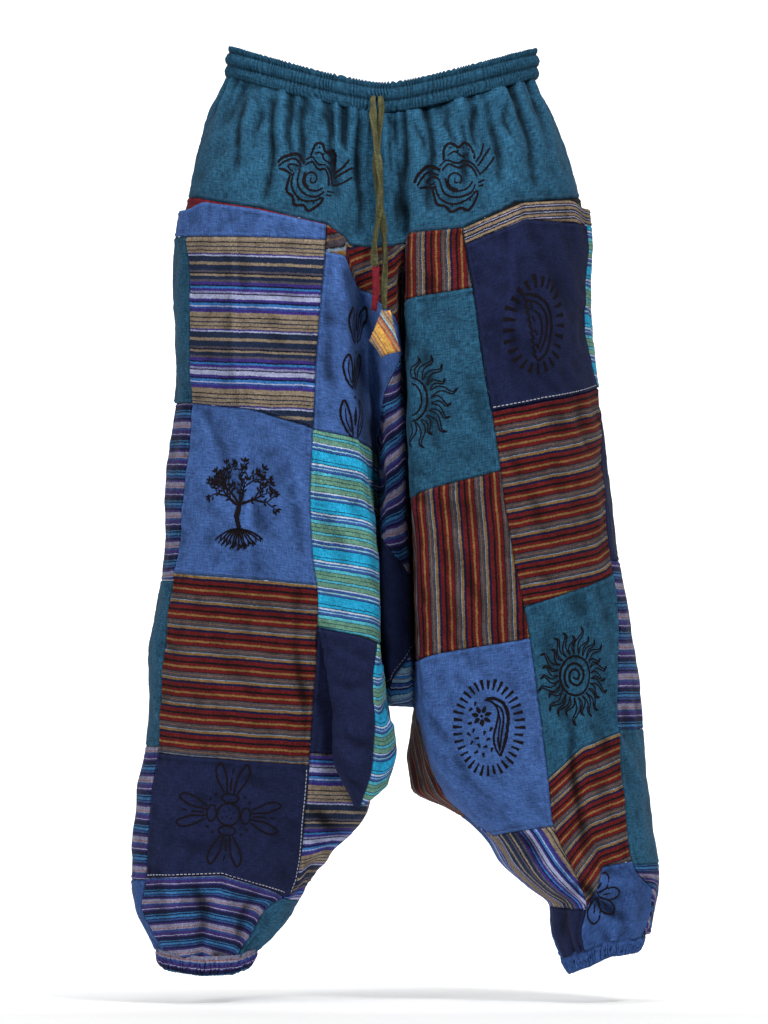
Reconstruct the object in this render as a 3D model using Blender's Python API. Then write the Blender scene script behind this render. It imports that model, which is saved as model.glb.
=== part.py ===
"""Patchwork harem pants, filled out as they hang from the waist.

The cloth is one surface, cloth_at(station, drop). A station is a line that runs down the garment, and
drop is the distance below the waist. Each patch is a stretch of that surface between two stations and
two seams, given a wall. Tables are in millimetres, with +X to the viewer's right and +Y to the back.
"""
import math

import bmesh
import bpy
import numpy as np

# Driving dimensions, in millimetres
MM = 0.001
WALL = 1.6
SEAM_GAP = 0.34
POCKET_LIFT = 2.0
POCKET_GAPE = 15.0
BAND_HEIGHT = 33.0
BAND_SIDE_RISE = 40.0
BAND_HALF_WIDTH = 157.0
BAND_DIP_WIDTH = 12.0
BAND_GATHERS = 104
BAND_EASE = 0.6
YOKE_FINENESS = 3
CUFF_HEIGHT = 17.0
CUFF_GATHERS = 32
CUFF_EASE = 0.6
GATHER_DEPTH = 2.2
CROTCH_DROP = 691.0
CROTCH_TURN = 60.0
ROUNDNESS = 2.3
BACK_TURN = 0.80
CORD_RADIUS = 3.4
FOLD_SHARPNESS = 0.65

# Stations, from the left leg's back seam round the front to the right leg's back seam and the back gusset
(LBV, LBE, LBM, LBO, LO, LS, LW, LM, LE, LV, CL, CR,
 RV, RE, RM, RW, RS, RO, RBO, RBM, RBE, RBV, BCR, BCL) = range(-4, 20)
STATIONS = 24
FIRST = LBV

LINE_COLUMNS = ("drop", "outer", "strip", "seam", "edge", "valley", "back_edge", "crown")
LEFT_LINES = (
    (-25, -165, -153, -67, -29, -20, -37, -7),
    (13, -171, -158, -67, -30, -21, -39, -7),
    (46, -188, -171, -67, -31, -22, -41, -9),
    (89, -202, -184, -64, -34, -25, -42, -17),
    (143, -214, -197, -61, -39, -31, -42, -42),
    (197, -222, -203, -63, -42, -36, -40, -78),
    (252, -224, -203, -68, -38, -26, -37, -102),
    (306, -224, -204, -72, -34, -16, -34, -113),
    (360, -225, -207, -75, -29, -11, -30, -118),
    (414, -231, -212, -77, -25, -8, -26, -124),
    (469, -238, -217, -79, -20, -7, -23, -128),
    (523, -240, -222, -77, -15, -5, -18, -130),
    (577, -244, -230, -71, -11, -5, -14, -132),
    (631, -252, -237, -72, -8, -3, -10, -139),
    (686, -255, -242, -76, -11, -1, -5, -145),
    (740, -260, -246, -80, -22, -8, -11, -150),
    (783, -267, -250, -82, -28, -14, -20, -156),
    (812, -270, -252, -84, -35, -22, -29, -161),
    (838, -273, -254, -86, -56, -44, -53, -165),
    (865, -275, -257, -90, -79, -69, -77, -171),
    (892, -275, -261, -98, -93, -89, -94, -181),
    (908, -273, -265, -125, -106, -97, -105, -186),
    (935, -261, -253, -140, -126, -114, -125, -189),
    (962, -246, -238, -156, -148, -139, -148, -193),
    (990, -238, -230, -165, -158, -153, -161, -195),
)
RIGHT_LINES = (
    (-25, 163, 152, 61, 21, 10, 28, 2),
    (13, 165, 155, 63, 22, 11, 30, 2),
    (46, 181, 167, 67, 22, 12, 34, 7),
    (89, 196, 182, 74, 24, 14, 36, 17),
    (143, 209, 199, 80, 25, 18, 37, 44),
    (197, 217, 210, 87, 23, 21, 35, 77),
    (252, 220, 214, 97, 23, 20, 30, 104),
    (306, 225, 219, 104, 26, 21, 28, 115),
    (360, 230, 228, 113, 28, 25, 28, 123),
    (414, 237, 233, 122, 29, 27, 29, 129),
    (469, 246, 240, 129, 31, 28, 30, 137),
    (523, 254, 245, 138, 35, 30, 31, 142),
    (577, 263, 250, 149, 37, 31, 33, 148),
    (631, 269, 252, 159, 38, 33, 33, 154),
    (686, 276, 253, 166, 40, 35, 33, 158),
    (740, 282, 256, 173, 52, 46, 27, 163),
    (783, 288, 259, 178, 72, 61, 30, 176),
    (812, 290, 261, 181, 97, 87, 88, 191),
    (838, 292, 264, 189, 122, 113, 115, 204),
    (865, 295, 270, 202, 141, 131, 135, 217),
    (892, 294, 289, 213, 169, 161, 165, 230),
    (908, 291, 288, 217, 190, 181, 187, 239),
    (935, 285, 281, 213, 193, 182, 189, 237),
    (962, 275, 270, 220, 200, 191, 197, 239),
    (990, 267, 264, 228, 210, 205, 210, 239),
)
DEPTH_COLUMNS = ("drop", "front", "left_edge", "left_valley", "right_edge", "right_valley", "right_inseam",
                 "back", "back_edge", "back_valley")
DEPTHS = (
    (-25, 103, 102, 103, 102, 103, 0, 104, 102, 101),
    (13, 110, 110, 110, 110, 110, 0, 112, 110, 108),
    (46, 116, 116, 116, 116, 116, 0, 120, 117, 114),
    (89, 127, 127, 127, 127, 126, 0, 132, 128, 123),
    (143, 139, 139, 139, 139, 137, 0, 147, 140, 131),
    (197, 145, 144, 141, 143, 136, 0, 155, 142, 122),
    (252, 149, 143, 124, 143, 104, 0, 158, 139, 102),
    (306, 151, 141, 106, 141, 76, 0, 157, 133, 86),
    (360, 151, 139, 86, 138, 54, 0, 152, 127, 72),
    (469, 145, 130, 42, 128, 32, 0, 140, 115, 52),
    (577, 131, 116, 24, 114, 22, 0, 126, 104, 38),
    (631, 123, 108, 20, 106, 20, 0, 119, 98, 31),
    (686, 115, 72, 18, 98, 18, 0, 112, 90, 26),
    (740, 106, 64, 16, 84, 16, 34, 105, 80, 24),
    (783, 98, 58, 16, 66, 16, 30, 98, 68, 24),
    (838, 91, 48, 16, 48, 16, 8, 90, 54, 24),
    (892, 82, 40, 16, 40, 16, 0, 80, 44, 24),
    (935, 66, 32, 16, 32, 16, 0, 64, 34, 24),
    (962, 50, 26, 16, 26, 16, 0, 50, 27, 24),
    (990, 44, 24, 16, 24, 16, 0, 44, 24, 24),
)
GUSSET_COLUMNS = ("drop", "left", "right", "front", "back")
GUSSET = (
    (-25, -11, 2, 103, 102),
    (46, -11, 3, 117, 115),
    (143, -14, 8, 138, 134),
    (197, -18, 11, 140, 131),
    (252, -9, 13, 134, 120),
    (306, -2, 16, 125, 108),
    (360, 0, 18, 115, 98),
    (469, 0, 22, 93, 82),
    (577, 2, 26, 73, 66),
    (686, 8, 29, 56, 52),
    (751, 8, 29, 50, 46),
)

# Seams: the drop where each crosses the stations, straight between them
SEAMS = {
    "yoke": ((LBV, 158), (LBM, 158), (LO, 141), (LS, 143), (LW, 156), (LM, 173), (LE, 187), (LV, 196),
             (CL, 198), (CR, 197), (RV, 193), (RE, 183), (RM, 177), (RW, 149), (RS, 143), (RO, 141),
             (RBM, 158), (RBV, 158), (BCR, 158), (LBV + STATIONS, 158)),
    "left_pocket_mouth": ((LO, 157), (LS, 156), (LW, 157), (LM, 175)),
    "left_hem": ((LO, 184), (LS, 185), (LW, 187), (LM, 190)),
    "left_pocket_foot": ((LBV, 366), (LO, 364), (LS, 364), (LW, 371), (LM, 391)),
    "left_tree_foot": ((LS, 547), (LW, 553), (LM, 560)),
    "left_red_foot": ((LS, 741), (LW, 748), (LM, 754)),
    "left_navy_foot": ((LS, 877), (LW, 873), (LM, 899)),
    "left_cuff": ((LBV, 958), (LO, 956), (LW, 966), (LM, 965), (LV, 958)),
    "centre_red_foot": ((LM, 202), (LE, 207), (LV, 241), (CL, 251), (CR, 277), (RV, 300)),
    "centre_blue_foot": ((LM, 393), (LE, 405), (LV, 420), (CL, 357), (CR, 317), (RV, 308)),
    "gusset_purple_foot": ((LV, 501), (CL, 512), (CR, 548), (RV, 552)),
    "gusset_navy_foot": ((LV, 675), (CL, 668), (CR, 634), (RV, 629)),
    "turquoise_foot": ((LM, 605), (LE, 622), (LV, 626)),
    "inner_navy_foot": ((LM, 741), (LE, 743), (LV, 745)),
    "inner_tan_foot": ((LM, 899), (LE, 901), (LV, 903)),
    "left_back_2": ((LBV, 558), (LS, 555)),
    "left_back_3": ((LBV, 736), (LS, 735)),
    "left_back_4": ((LBV, 884), (LS, 879)),
    "right_pocket_mouth": ((RM, 179), (RW, 152), (RS, 154), (RO, 156)),
    "right_hem": ((RM, 195), (RW, 168), (RS, 172), (RO, 175)),
    "right_pocket_foot": ((RM, 373), (RW, 362), (RS, 347), (RO, 347), (RBV, 352)),
    "right_red_foot": ((RM, 584), (RW, 568), (RS, 548)),
    "right_sun_foot": ((RM, 769), (RW, 734), (RS, 719)),
    "right_rust_foot": ((RM, 907), (RW, 864), (RS, 858)),
    "right_cuff": ((RV, 966), (RE, 963), (RM, 956), (RW, 945), (RO, 939), (RBM, 948), (RBV, 964)),
    "right_small_foot": ((RV, 262), (RE, 255), (RM, 241)),
    "half_sun_foot": ((RV, 470), (RE, 466), (RM, 437)),
    "right_upright_foot": ((RV, 643), (RE, 641), (RM, 617)),
    "paisley_foot": ((RV, 812), (RE, 832), (RM, 820)),
    "right_tan_foot": ((RV, 909), (RE, 910), (RM, 911)),
    "right_back_2": ((RS, 534), (RBV, 540)),
    "right_back_3": ((RS, 716), (RBV, 720)),
    "right_back_4": ((RS, 862), (RBV, 866)),
    "inside_red_foot": ((RBE, 812), (RBV, 812)),
    "gusset_back": ((RBV, 560), (BCR, 566), (BCL, 566), (LBV + STATIONS, 560)),
}

# Patches: each between two stations, from its head seam to its foot seam
PATCHES = (
    ("left_pocket_backing", LO, LM, "yoke", "left_pocket_foot", "maroon"),
    ("left_blue_tree", LS, LM, "left_pocket_foot", "left_tree_foot", "blue"),
    ("left_red_stripe", LS, LM, "left_tree_foot", "left_red_foot", "red_stripe"),
    ("left_navy_vajra", LS, LM, "left_red_foot", "left_navy_foot", "navy"),
    ("left_purple_cuff_patch", LS, LM, "left_navy_foot", "left_cuff", "purple_stripe"),
    ("centre_red_stripe", LM, RV, "yoke", "centre_red_foot", "red_stripe"),
    ("centre_blue_leaf", LM, RV, "centre_red_foot", "centre_blue_foot", "blue"),
    ("left_turquoise", LM, LV, "centre_blue_foot", "turquoise_foot", "turquoise_stripe"),
    ("left_inner_navy", LM, LV, "turquoise_foot", "inner_navy_foot", "navy"),
    ("left_inner_tan", LM, LV, "inner_navy_foot", "inner_tan_foot", "tan_stripe"),
    ("left_teal_cuff_patch", LM, LV, "inner_tan_foot", "left_cuff", "teal"),
    ("gusset_purple", LV, RV, "centre_blue_foot", "gusset_purple_foot", "purple_stripe"),
    ("gusset_navy", LV, RV, "gusset_purple_foot", "gusset_navy_foot", "navy"),
    ("left_back_teal_upper", LBV, LO, "yoke", "left_pocket_foot", "teal"),
    ("left_back_purple_upper", LBV, LS, "left_pocket_foot", "left_back_2", "purple_stripe"),
    ("left_back_teal_lower", LBV, LS, "left_back_2", "left_back_3", "teal"),
    ("left_back_purple_lower", LBV, LS, "left_back_3", "left_back_4", "purple_stripe"),
    ("left_back_blue", LBV, LS, "left_back_4", "left_cuff", "blue"),
    ("right_pocket_backing", RM, RO, "yoke", "right_pocket_foot", "black"),
    ("right_red_stripe", RM, RS, "right_pocket_foot", "right_red_foot", "red_stripe"),
    ("right_teal_sun", RM, RS, "right_red_foot", "right_sun_foot", "teal"),
    ("right_red_lower", RM, RS, "right_sun_foot", "right_rust_foot", "red_stripe"),
    ("right_blue_cuff_patch", RM, RS, "right_rust_foot", "right_cuff", "blue"),
    ("right_red_small", RV, RM, "yoke", "right_small_foot", "red_stripe"),
    ("right_teal_half_sun", RV, RM, "right_small_foot", "half_sun_foot", "teal"),
    ("right_red_upright", RV, RM, "half_sun_foot", "right_upright_foot", "red_stripe"),
    ("right_blue_paisley", RV, RM, "right_upright_foot", "paisley_foot", "blue"),
    ("right_tan_stripe", RV, RM, "paisley_foot", "right_tan_foot", "tan_stripe"),
    ("right_navy_cuff_patch", RV, RM, "right_tan_foot", "right_cuff", "navy"),
    ("right_back_turquoise", RO, RBV, "yoke", "right_pocket_foot", "turquoise_stripe"),
    ("right_back_navy", RS, RBV, "right_pocket_foot", "right_back_2", "navy"),
    ("right_back_purple", RS, RBE, "right_back_2", "right_back_3", "purple_stripe"),
    ("right_back_teal", RS, RBE, "right_back_3", "right_back_4", "teal"),
    ("right_back_purple_cuff", RS, RBE, "right_back_4", "right_cuff", "purple_stripe"),
    ("right_inside_red", RBE, RBV, "right_back_2", "inside_red_foot", "red_stripe"),
    ("right_inside_blue", RBE, RBV, "inside_red_foot", "right_cuff", "blue"),
    ("gusset_back_navy", RBV, LBV + STATIONS, "yoke", "gusset_back", "navy"),
)
# Pocket pieces lie over the backing, moved out by the pocket's lift
POCKETS = (
    ("left_pocket_hem", LO, LM, "left_pocket_mouth", "left_hem", "blue"),
    ("left_pocket_side", LO, LS, "left_hem", "left_pocket_foot", "teal"),
    ("left_pocket_panel", LS, LM, "left_hem", "left_pocket_foot", "tan_stripe"),
    ("right_pocket_hem", RM, RO, "right_pocket_mouth", "right_hem", "tan_stripe"),
    ("right_pocket_panel", RM, RS, "right_hem", "right_pocket_foot", "navy"),
    ("right_pocket_side", RS, RO, "right_hem", "right_pocket_foot", "turquoise_stripe"),
)

# Folds down the cloth, ridges and troughs: side, x, lean, head, foot, width and height above the cloth
FOLDS = (
    ("front", -152, -10, 20, 170, 9, 4.0),
    ("front", -128, -10, 30, 175, 8, -4.0),
    ("front", -104, -8, 35, 190, 9, 4.5),
    ("front", -78, -6, 40, 165, 8, -5.0),
    ("front", -56, -4, 45, 200, 9, 4.0),
    ("front", -30, -3, 50, 215, 8, -6.0),
    ("front", -12, 0, 50, 150, 8, 4.0),
    ("front", 12, 4, 50, 215, 8, -6.5),
    ("front", 34, 5, 50, 170, 9, 4.0),
    ("front", 58, 7, 45, 190, 8, -4.5),
    ("front", 82, 9, 40, 165, 9, 4.5),
    ("front", 108, 12, 35, 180, 8, -4.0),
    ("front", 134, 14, 25, 150, 9, 4.0),
    ("back", -120, -10, 25, 180, 10, -4.5),
    ("back", -84, -6, 35, 170, 10, 4.5),
    ("back", -44, -4, 45, 200, 9, -5.0),
    ("back", 2, 0, 50, 170, 10, 4.5),
    ("back", 46, 4, 45, 200, 9, -5.0),
    ("back", 88, 8, 35, 175, 10, 4.5),
    ("back", 126, 12, 25, 180, 10, -4.5),
    ("front", 222, 2, 700, 900, 9, 5.0),
    ("back", -190, 4, 640, 880, 14, -5.0),
    ("back", 215, 4, 620, 860, 14, -5.0),
)

# The pouch fold over the left lower leg: points down each line, as x, y and drop
POUCH_HEAD_LIFT = 2.4
POUCH_HEAD = ((LM + 0.02, 608), (LM + 0.07, 609), (LM + 0.50, 614.5), (LE - 0.02, 623.5), (LE + 0.10, 626),
              (LE + 0.25, 630), (LE + 0.36, 634))
POUCH_LINES = (
    ("curl", ((-57, -117, 651), (-49, -103, 699), (-48, -98, 746), (-29, -88, 792))),
    ("fold", ((-62, -123, 651), (-54, -114, 699), (-52, -109, 746), (-32, -97, 794))),
    ("middle", ((-36, -125, 664), (-33, -128, 712), (-34, -123, 760), (-29, -106, 799))),
    ("seam", ((-9, -119, 666), (-9, -121, 707), (-14, -115, 755), (-26, -104, 798))),
    ("right", ((1, -80, 664), (4, -72, 699), (13, -68, 736), (1, -70, 777))),
    ("inside", ((2, -40, 675), (7, -10, 710), (8, 10, 738), (-1, 0, 764))),
    ("close", ((1.5, -24, 675), (3, 4, 710), (-1, 20, 738), (-6, 10, 764))),
)

# Drawstring ends: where they hang in front of the cloth, as x, y and drop
SHORT_CORD = ((-12, -120.9, 36), (-12, -134, 42), (-12, -143, 60), (-9, -151, 85), (-5, -156, 110),
              (-3, -158, 132), (-5, -158, 155), (-8, -157, 180), (-10, -156, 200), (-9.5, -156, 217.6))
LONG_CORD = ((-3, -121.3, 36), (-3, -134, 42), (-4, -138, 60), (-6, -142, 85), (-8, -145, 110),
             (-7, -146, 132), (-4, -148, 155), (0, -150, 185), (1, -151, 215), (0, -151, 245),
             (1, -151, 264.6))
CORD_STEP = 14.0
MAROON_TAB = ((-13, -218), (-5, -218), (-4, -243), (-8, -268), (-14, -266), (-12.5, -243))
MAROON_TAB_DEPTH = 156.0
YELLOW_TAB = ((-3, -265), (7, -265), (18, -310), (-3, -316), (-16, -298))
YELLOW_TAB_DEPTH = 151.0
TAB_THICKNESS = 5.0

COLOURS = {
    "teal": (0.030, 0.130, 0.175),
    "blue": (0.060, 0.125, 0.330),
    "navy": (0.018, 0.022, 0.095),
    "black": (0.010, 0.010, 0.012),
    "maroon": (0.180, 0.012, 0.022),
    "red_stripe": (0.200, 0.050, 0.035),
    "tan_stripe": (0.250, 0.210, 0.200),
    "purple_stripe": (0.110, 0.120, 0.270),
    "turquoise_stripe": (0.060, 0.330, 0.450),
    "light_stripe": (0.180, 0.380, 0.520),
    "olive": (0.110, 0.100, 0.040),
    "yellow": (0.650, 0.370, 0.080),
}


def clear_scene():
    """Remove whatever the file holds."""
    for item in list(bpy.data.objects):
        bpy.data.objects.remove(item, do_unlink=True)


def monotone(levels, values, at):
    """Smooth curve through a table's values that adds no bumps between them."""
    levels, values = np.asarray(levels, float), np.asarray(values, float)
    step = np.diff(levels)
    slope = np.diff(values) / step
    tangent = np.zeros_like(values)
    tangent[0], tangent[-1] = slope[0], slope[-1]
    before, after = slope[:-1], slope[1:]
    same = before * after > 0
    weight_a, weight_b = 2 * step[1:] + step[:-1], step[1:] + 2 * step[:-1]
    mean = (weight_a + weight_b) / np.where(same, weight_a / np.where(same, before, 1)
                                            + weight_b / np.where(same, after, 1), 1)
    tangent[1:-1] = np.where(same, mean, 0)
    at = np.clip(np.asarray(at, float), levels[0], levels[-1])
    k = np.clip(np.searchsorted(levels, at, side="right") - 1, 0, len(step) - 1)
    h = step[k]
    t = (at - levels[k]) / h
    return ((1 + 2 * t) * (1 - t) ** 2 * values[k] + t * (1 - t) ** 2 * h * tangent[k]
            + t * t * (3 - 2 * t) * values[k + 1] + t * t * (t - 1) * h * tangent[k + 1])


def ease(low, high, value):
    """Rise smoothly from 0 at low to 1 at high."""
    t = np.clip((value - low) / (high - low), 0, 1)
    return t * t * (3 - 2 * t)


def table_curves(columns, rows, levels):
    """Every column of a table, as values at the levels."""
    drops = [row[0] for row in rows]
    return {name: monotone(drops, [row[i] for row in rows], levels)
            for i, name in enumerate(columns) if i}


LEVELS = np.arange(-25.0, 991.0, 1.0)


def leg_stations(lines, depth, side):
    """Plan positions of one leg's lines at every level, by name."""
    front, back = depth["front"], depth["back"]
    crown, outer, edge = lines["crown"], lines["outer"], lines["edge"]

    def front_depth(x):
        out = (x - crown) / (outer - crown)
        inward = np.clip((x - crown) / (edge - crown), 0, 1)
        round_side = front * (1 - np.clip(out, 0, 1) ** ROUNDNESS) ** (1 / ROUNDNESS)
        return np.where(out >= 0, round_side, front - (front - depth[side + "_edge"]) * inward ** 2)

    turn = 1 - np.clip((LEVELS - CROTCH_DROP + CROTCH_TURN) / CROTCH_TURN, 0, 1) ** 2
    open_part = np.sqrt(np.clip(turn, 0, 1))
    inseam = -depth["right_inseam"] if side == "right" else 0 * LEVELS
    wide = (lines["strip"] + lines["seam"]) / 2
    middle = (outer + lines["back_edge"]) / 2
    return {
        "outer": (outer, 0 * LEVELS),
        "strip": (lines["strip"], -front_depth(lines["strip"])),
        "wide": (wide, -front_depth(wide)),
        "seam": (lines["seam"], -front_depth(lines["seam"])),
        "edge": (edge, -depth[side + "_edge"]),
        "valley": (lines["valley"], inseam - depth[side + "_valley"] * open_part),
        "back_outer": (middle + BACK_TURN * (outer - middle),
                       back * (1 - BACK_TURN ** ROUNDNESS) ** (1 / ROUNDNESS)),
        "back_middle": (middle, back),
        "back_edge": (lines["back_edge"], depth["back_edge"]),
        "back_valley": (lines["valley"], inseam + depth["back_valley"] * open_part),
    }


def build_lattice():
    """Points of all stations at every level, with the tangents that stretches start and end with."""
    depth = table_curves(DEPTH_COLUMNS, DEPTHS, LEVELS)
    left = leg_stations(table_curves(LINE_COLUMNS, LEFT_LINES, LEVELS), depth, "left")
    right = leg_stations(table_curves(LINE_COLUMNS, RIGHT_LINES, LEVELS), depth, "right")
    gusset = table_curves(GUSSET_COLUMNS, GUSSET, LEVELS)
    turn = 1 - np.clip((LEVELS - CROTCH_DROP + CROTCH_TURN) / CROTCH_TURN, 0, 1) ** 2
    open_part = np.sqrt(np.clip(turn, 0, 1))
    across = ("back_valley", "back_edge", "back_middle", "back_outer", "outer", "strip", "wide", "seam",
              "edge", "valley")
    ring = [left[name] for name in across]
    ring += [(gusset["left"], -gusset["front"] * open_part), (gusset["right"], -gusset["front"] * open_part)]
    ring += [right[name] for name in reversed(across)]
    ring += [(gusset["right"], gusset["back"] * open_part), (gusset["left"], gusset["back"] * open_part)]
    points = np.array([[x, y] for x, y in ring]).transpose(0, 2, 1)

    def tangent(before, here, after):
        back_step = np.linalg.norm(here - before, axis=-1, keepdims=True) + 1e-6
        next_step = np.linalg.norm(after - here, axis=-1, keepdims=True) + 1e-6
        return ((here - before) / back_step * next_step + (after - here) / next_step * back_step) \
            / (back_step + next_step)

    tangents = tangent(np.roll(points, 1, axis=0), points, np.roll(points, -1, axis=0))
    creased = ease(190, 260, LEVELS) * (1 - ease(CROTCH_DROP, CROTCH_DROP + 70, LEVELS))
    for station in (LE, CL, CR, RE, RBE, BCR, BCL, LBE):
        tangents[station - FIRST] *= (1 - FOLD_SHARPNESS * creased)[:, None]
    starts, ends = tangents.copy(), tangents.copy()
    closed = ease(CROTCH_DROP - 60, CROTCH_DROP, LEVELS)[:, None]
    for valley, edge, back_valley, back_edge, way in ((LV, LE, LBV, LBE, 1), (RV, RE, RBV, RBE, -1)):
        front_point, back_point = points[edge - FIRST], points[back_edge - FIRST]
        joined = way * tangent(front_point, points[valley - FIRST], back_point)
        first, last = (back_valley, valley) if way > 0 else (valley, back_valley)
        starts[first - FIRST] = (1 - closed) * starts[first - FIRST] + closed * joined
        ends[last - FIRST] = (1 - closed) * ends[last - FIRST] + closed * joined
    return points, starts, ends


POINTS, STARTS, ENDS = build_lattice()


def plan_at(station, drop):
    """Plan position of the smooth cloth, and its direction round the garment."""
    row = np.clip(drop - LEVELS[0], 0, len(LEVELS) - 1.001)
    low = row.astype(int)
    part = (row - low)[..., None]
    whole = np.floor(station + 1e-9).astype(int)
    t = (station - whole)[..., None]
    a, b = (whole - FIRST) % STATIONS, (whole - FIRST + 1) % STATIONS
    p0 = POINTS[a, low] * (1 - part) + POINTS[a, low + 1] * part
    p1 = POINTS[b, low] * (1 - part) + POINTS[b, low + 1] * part
    t0 = STARTS[a, low] * (1 - part) + STARTS[a, low + 1] * part
    t1 = ENDS[b, low] * (1 - part) + ENDS[b, low + 1] * part
    h = np.linalg.norm(p1 - p0, axis=-1, keepdims=True)
    place = ((1 + 2 * t) * (1 - t) ** 2 * p0 + t * (1 - t) ** 2 * h * t0
             + t * t * (3 - 2 * t) * p1 + t * t * (t - 1) * h * t1)
    along = (6 * t * t - 6 * t) * (p0 - p1) + (3 * t * t - 4 * t + 1) * h * t0 + (3 * t * t - 2 * t) * h * t1
    return place, along / (np.linalg.norm(along, axis=-1, keepdims=True) + 1e-9)


def relief(x, y, drop):
    """Height of the named folds where the cloth is at x, y and drop."""
    height = np.zeros_like(x)
    for side, fold_x, lean, head, foot, width, tall in FOLDS:
        facing = (y < -20) if side == "front" else (y > 20)
        down = np.clip((drop - head) / (foot - head), 0, 1)
        across = (x - fold_x - lean * down) / width
        fade = np.sin(np.pi * np.clip(0.12 + 0.88 * down, 0, 1)) * (drop > head) * (drop < foot)
        height += tall * facing * fade * np.exp(-across * across)
    return height


def cloth_at(station, drop, lift=0.0):
    """Outer face of the cloth, in millimetres, lifted off it by lift."""
    station, drop = np.broadcast_arrays(np.asarray(station, float), np.asarray(drop, float))
    place, along = plan_at(station, drop)
    out = np.stack([along[..., 1], -along[..., 0]], axis=-1)
    high = relief(place[..., 0], place[..., 1], drop) + lift
    place = place + out * high[..., None]
    return np.stack([place[..., 0], place[..., 1], -drop], axis=-1)


def frame_at(station, drop, lift=None):
    """Points of the cloth with their normals and their two seam directions."""
    nudge = 1.5
    rise = (lambda s, d: 0.0) if lift is None else lift
    here = cloth_at(station, drop, rise(station, drop))
    along = plan_at(*np.broadcast_arrays(np.asarray(station, float), np.asarray(drop, float)))[1]
    across = np.concatenate([along, np.zeros_like(along[..., :1])], axis=-1)
    down = unit(cloth_at(station, drop + nudge, rise(station, drop + nudge))
                - cloth_at(station, drop - nudge, rise(station, drop - nudge)))
    return here, unit(np.cross(down, across)), across, down


def unit(vectors):
    """Vectors of length one."""
    return vectors / (np.linalg.norm(vectors, axis=-1, keepdims=True) + 1e-12)


def seam_at(name, station):
    """Drop of a seam at a station."""
    rows = SEAMS[name]
    return np.interp(station, [row[0] for row in rows], [row[1] for row in rows])


def new_material(name, colour):
    """Plain cloth finish in one colour."""
    material = bpy.data.materials.new(name)
    material.use_nodes = True
    shader = material.node_tree.nodes["Principled BSDF"]
    shader.inputs["Base Color"].default_value = (*colour, 1)
    shader.inputs["Roughness"].default_value = 0.9
    shader.inputs["Metallic"].default_value = 0.0
    return material


def add_object(name, data, fabric):
    """Put a mesh or curve in the object's collection with a finish of its own."""
    data.materials.append(new_material(name + "_cloth", COLOURS[fabric]))
    item = bpy.data.objects.new(name, data)
    collection.objects.link(item)
    return item


def add_rim(mesh, out_a, out_b, back_a, back_b, split):
    """Close one stretch of a wall's edge, split the same way as on the piece that it faces."""
    if split is out_a:
        mesh.faces.new((out_a, back_a, back_b))
        mesh.faces.new((out_a, back_b, out_b))
    else:
        mesh.faces.new((out_a, back_a, out_b))
        mesh.faces.new((out_b, back_a, back_b))


def add_wall(name, outer, inner, fabric, ring=False):
    """Closed cloth wall between two grids of points; a ring's columns join up round it."""
    columns = outer.shape[1]
    mesh = bmesh.new()
    out, back = [[[mesh.verts.new(in_metres(point)) for point in line] for line in grid]
                 for grid in (outer, inner)]
    last = columns if ring else columns - 1
    for j in range(last):
        k = (j + 1) % columns
        for i in range(len(out) - 1):
            mesh.faces.new((out[i][j], out[i + 1][j], out[i + 1][k], out[i][k]))
        for i in range(len(back) - 1):
            mesh.faces.new((back[i][k], back[i + 1][k], back[i + 1][j], back[i][j]))
    for j in range(last):
        k = (j + 1) % columns
        add_rim(mesh, out[0][k], out[0][j], back[0][k], back[0][j], out[0][j])
        add_rim(mesh, out[-1][j], out[-1][k], back[-1][j], back[-1][k], out[-1][j])
    if not ring:
        for i in range(len(out) - 1):
            add_rim(mesh, out[i][0], out[i + 1][0], back[i][0], back[i + 1][0], out[i][0])
            add_rim(mesh, out[i + 1][-1], out[i][-1], back[i + 1][-1], back[i][-1], out[i][-1])
    bmesh.ops.remove_doubles(mesh, verts=mesh.verts[:], dist=1e-6)
    bmesh.ops.triangulate(mesh, faces=mesh.faces[:])
    bmesh.ops.recalc_face_normals(mesh, faces=mesh.faces[:])
    data = bpy.data.meshes.new(name)
    mesh.to_mesh(data)
    mesh.free()
    data.shade_smooth()
    data.set_sharp_from_angle(angle=math.radians(60))
    return add_object(name, data, fabric)


def in_metres(point):
    """A point of the tables, in metres."""
    return (point[0] * MM, point[1] * MM, point[2] * MM)


# Levels of the patches' grid rows, closer together where the legs narrow
GRID_DROPS = np.array(list(range(0, 870, 30)) + list(range(870, 990, 15)), float)

# Cells between each station and the next one round
CELLS = {LBV: 2, LBE: 2, LBM: 2, LBO: 2, LO: 2, LS: 2, LW: 2, LM: 2, LE: 2, LV: 2, CL: 1, CR: 2,
         RV: 2, RE: 2, RM: 2, RW: 2, RS: 2, RO: 2, RBO: 2, RBM: 2, RBE: 2, RBV: 2, BCR: 1, BCL: 2}


def columns_between(start, end, fine=1):
    """Stations of a piece's columns, with every named station among them."""
    stations = []
    for station in range(start, end):
        cells = CELLS[(station - FIRST) % STATIONS + FIRST] * fine
        stations += [station + i / cells for i in range(cells)]
    return np.array(stations + [end - 1e-5], float)


def facet_frame(stations, drops, lift=None):
    """Points and directions on the flat facets between the grid's levels."""
    k = np.clip(np.searchsorted(GRID_DROPS, drops, side="right") - 1, 0, len(GRID_DROPS) - 2)
    low, high = GRID_DROPS[k], GRID_DROPS[k + 1]
    part = ((drops - low) / (high - low))[..., None]
    above, below = frame_at(stations, low, lift), frame_at(stations, high, lift)
    return [a * (1 - part) + b * part for a, b in zip(above, below)]


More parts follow.
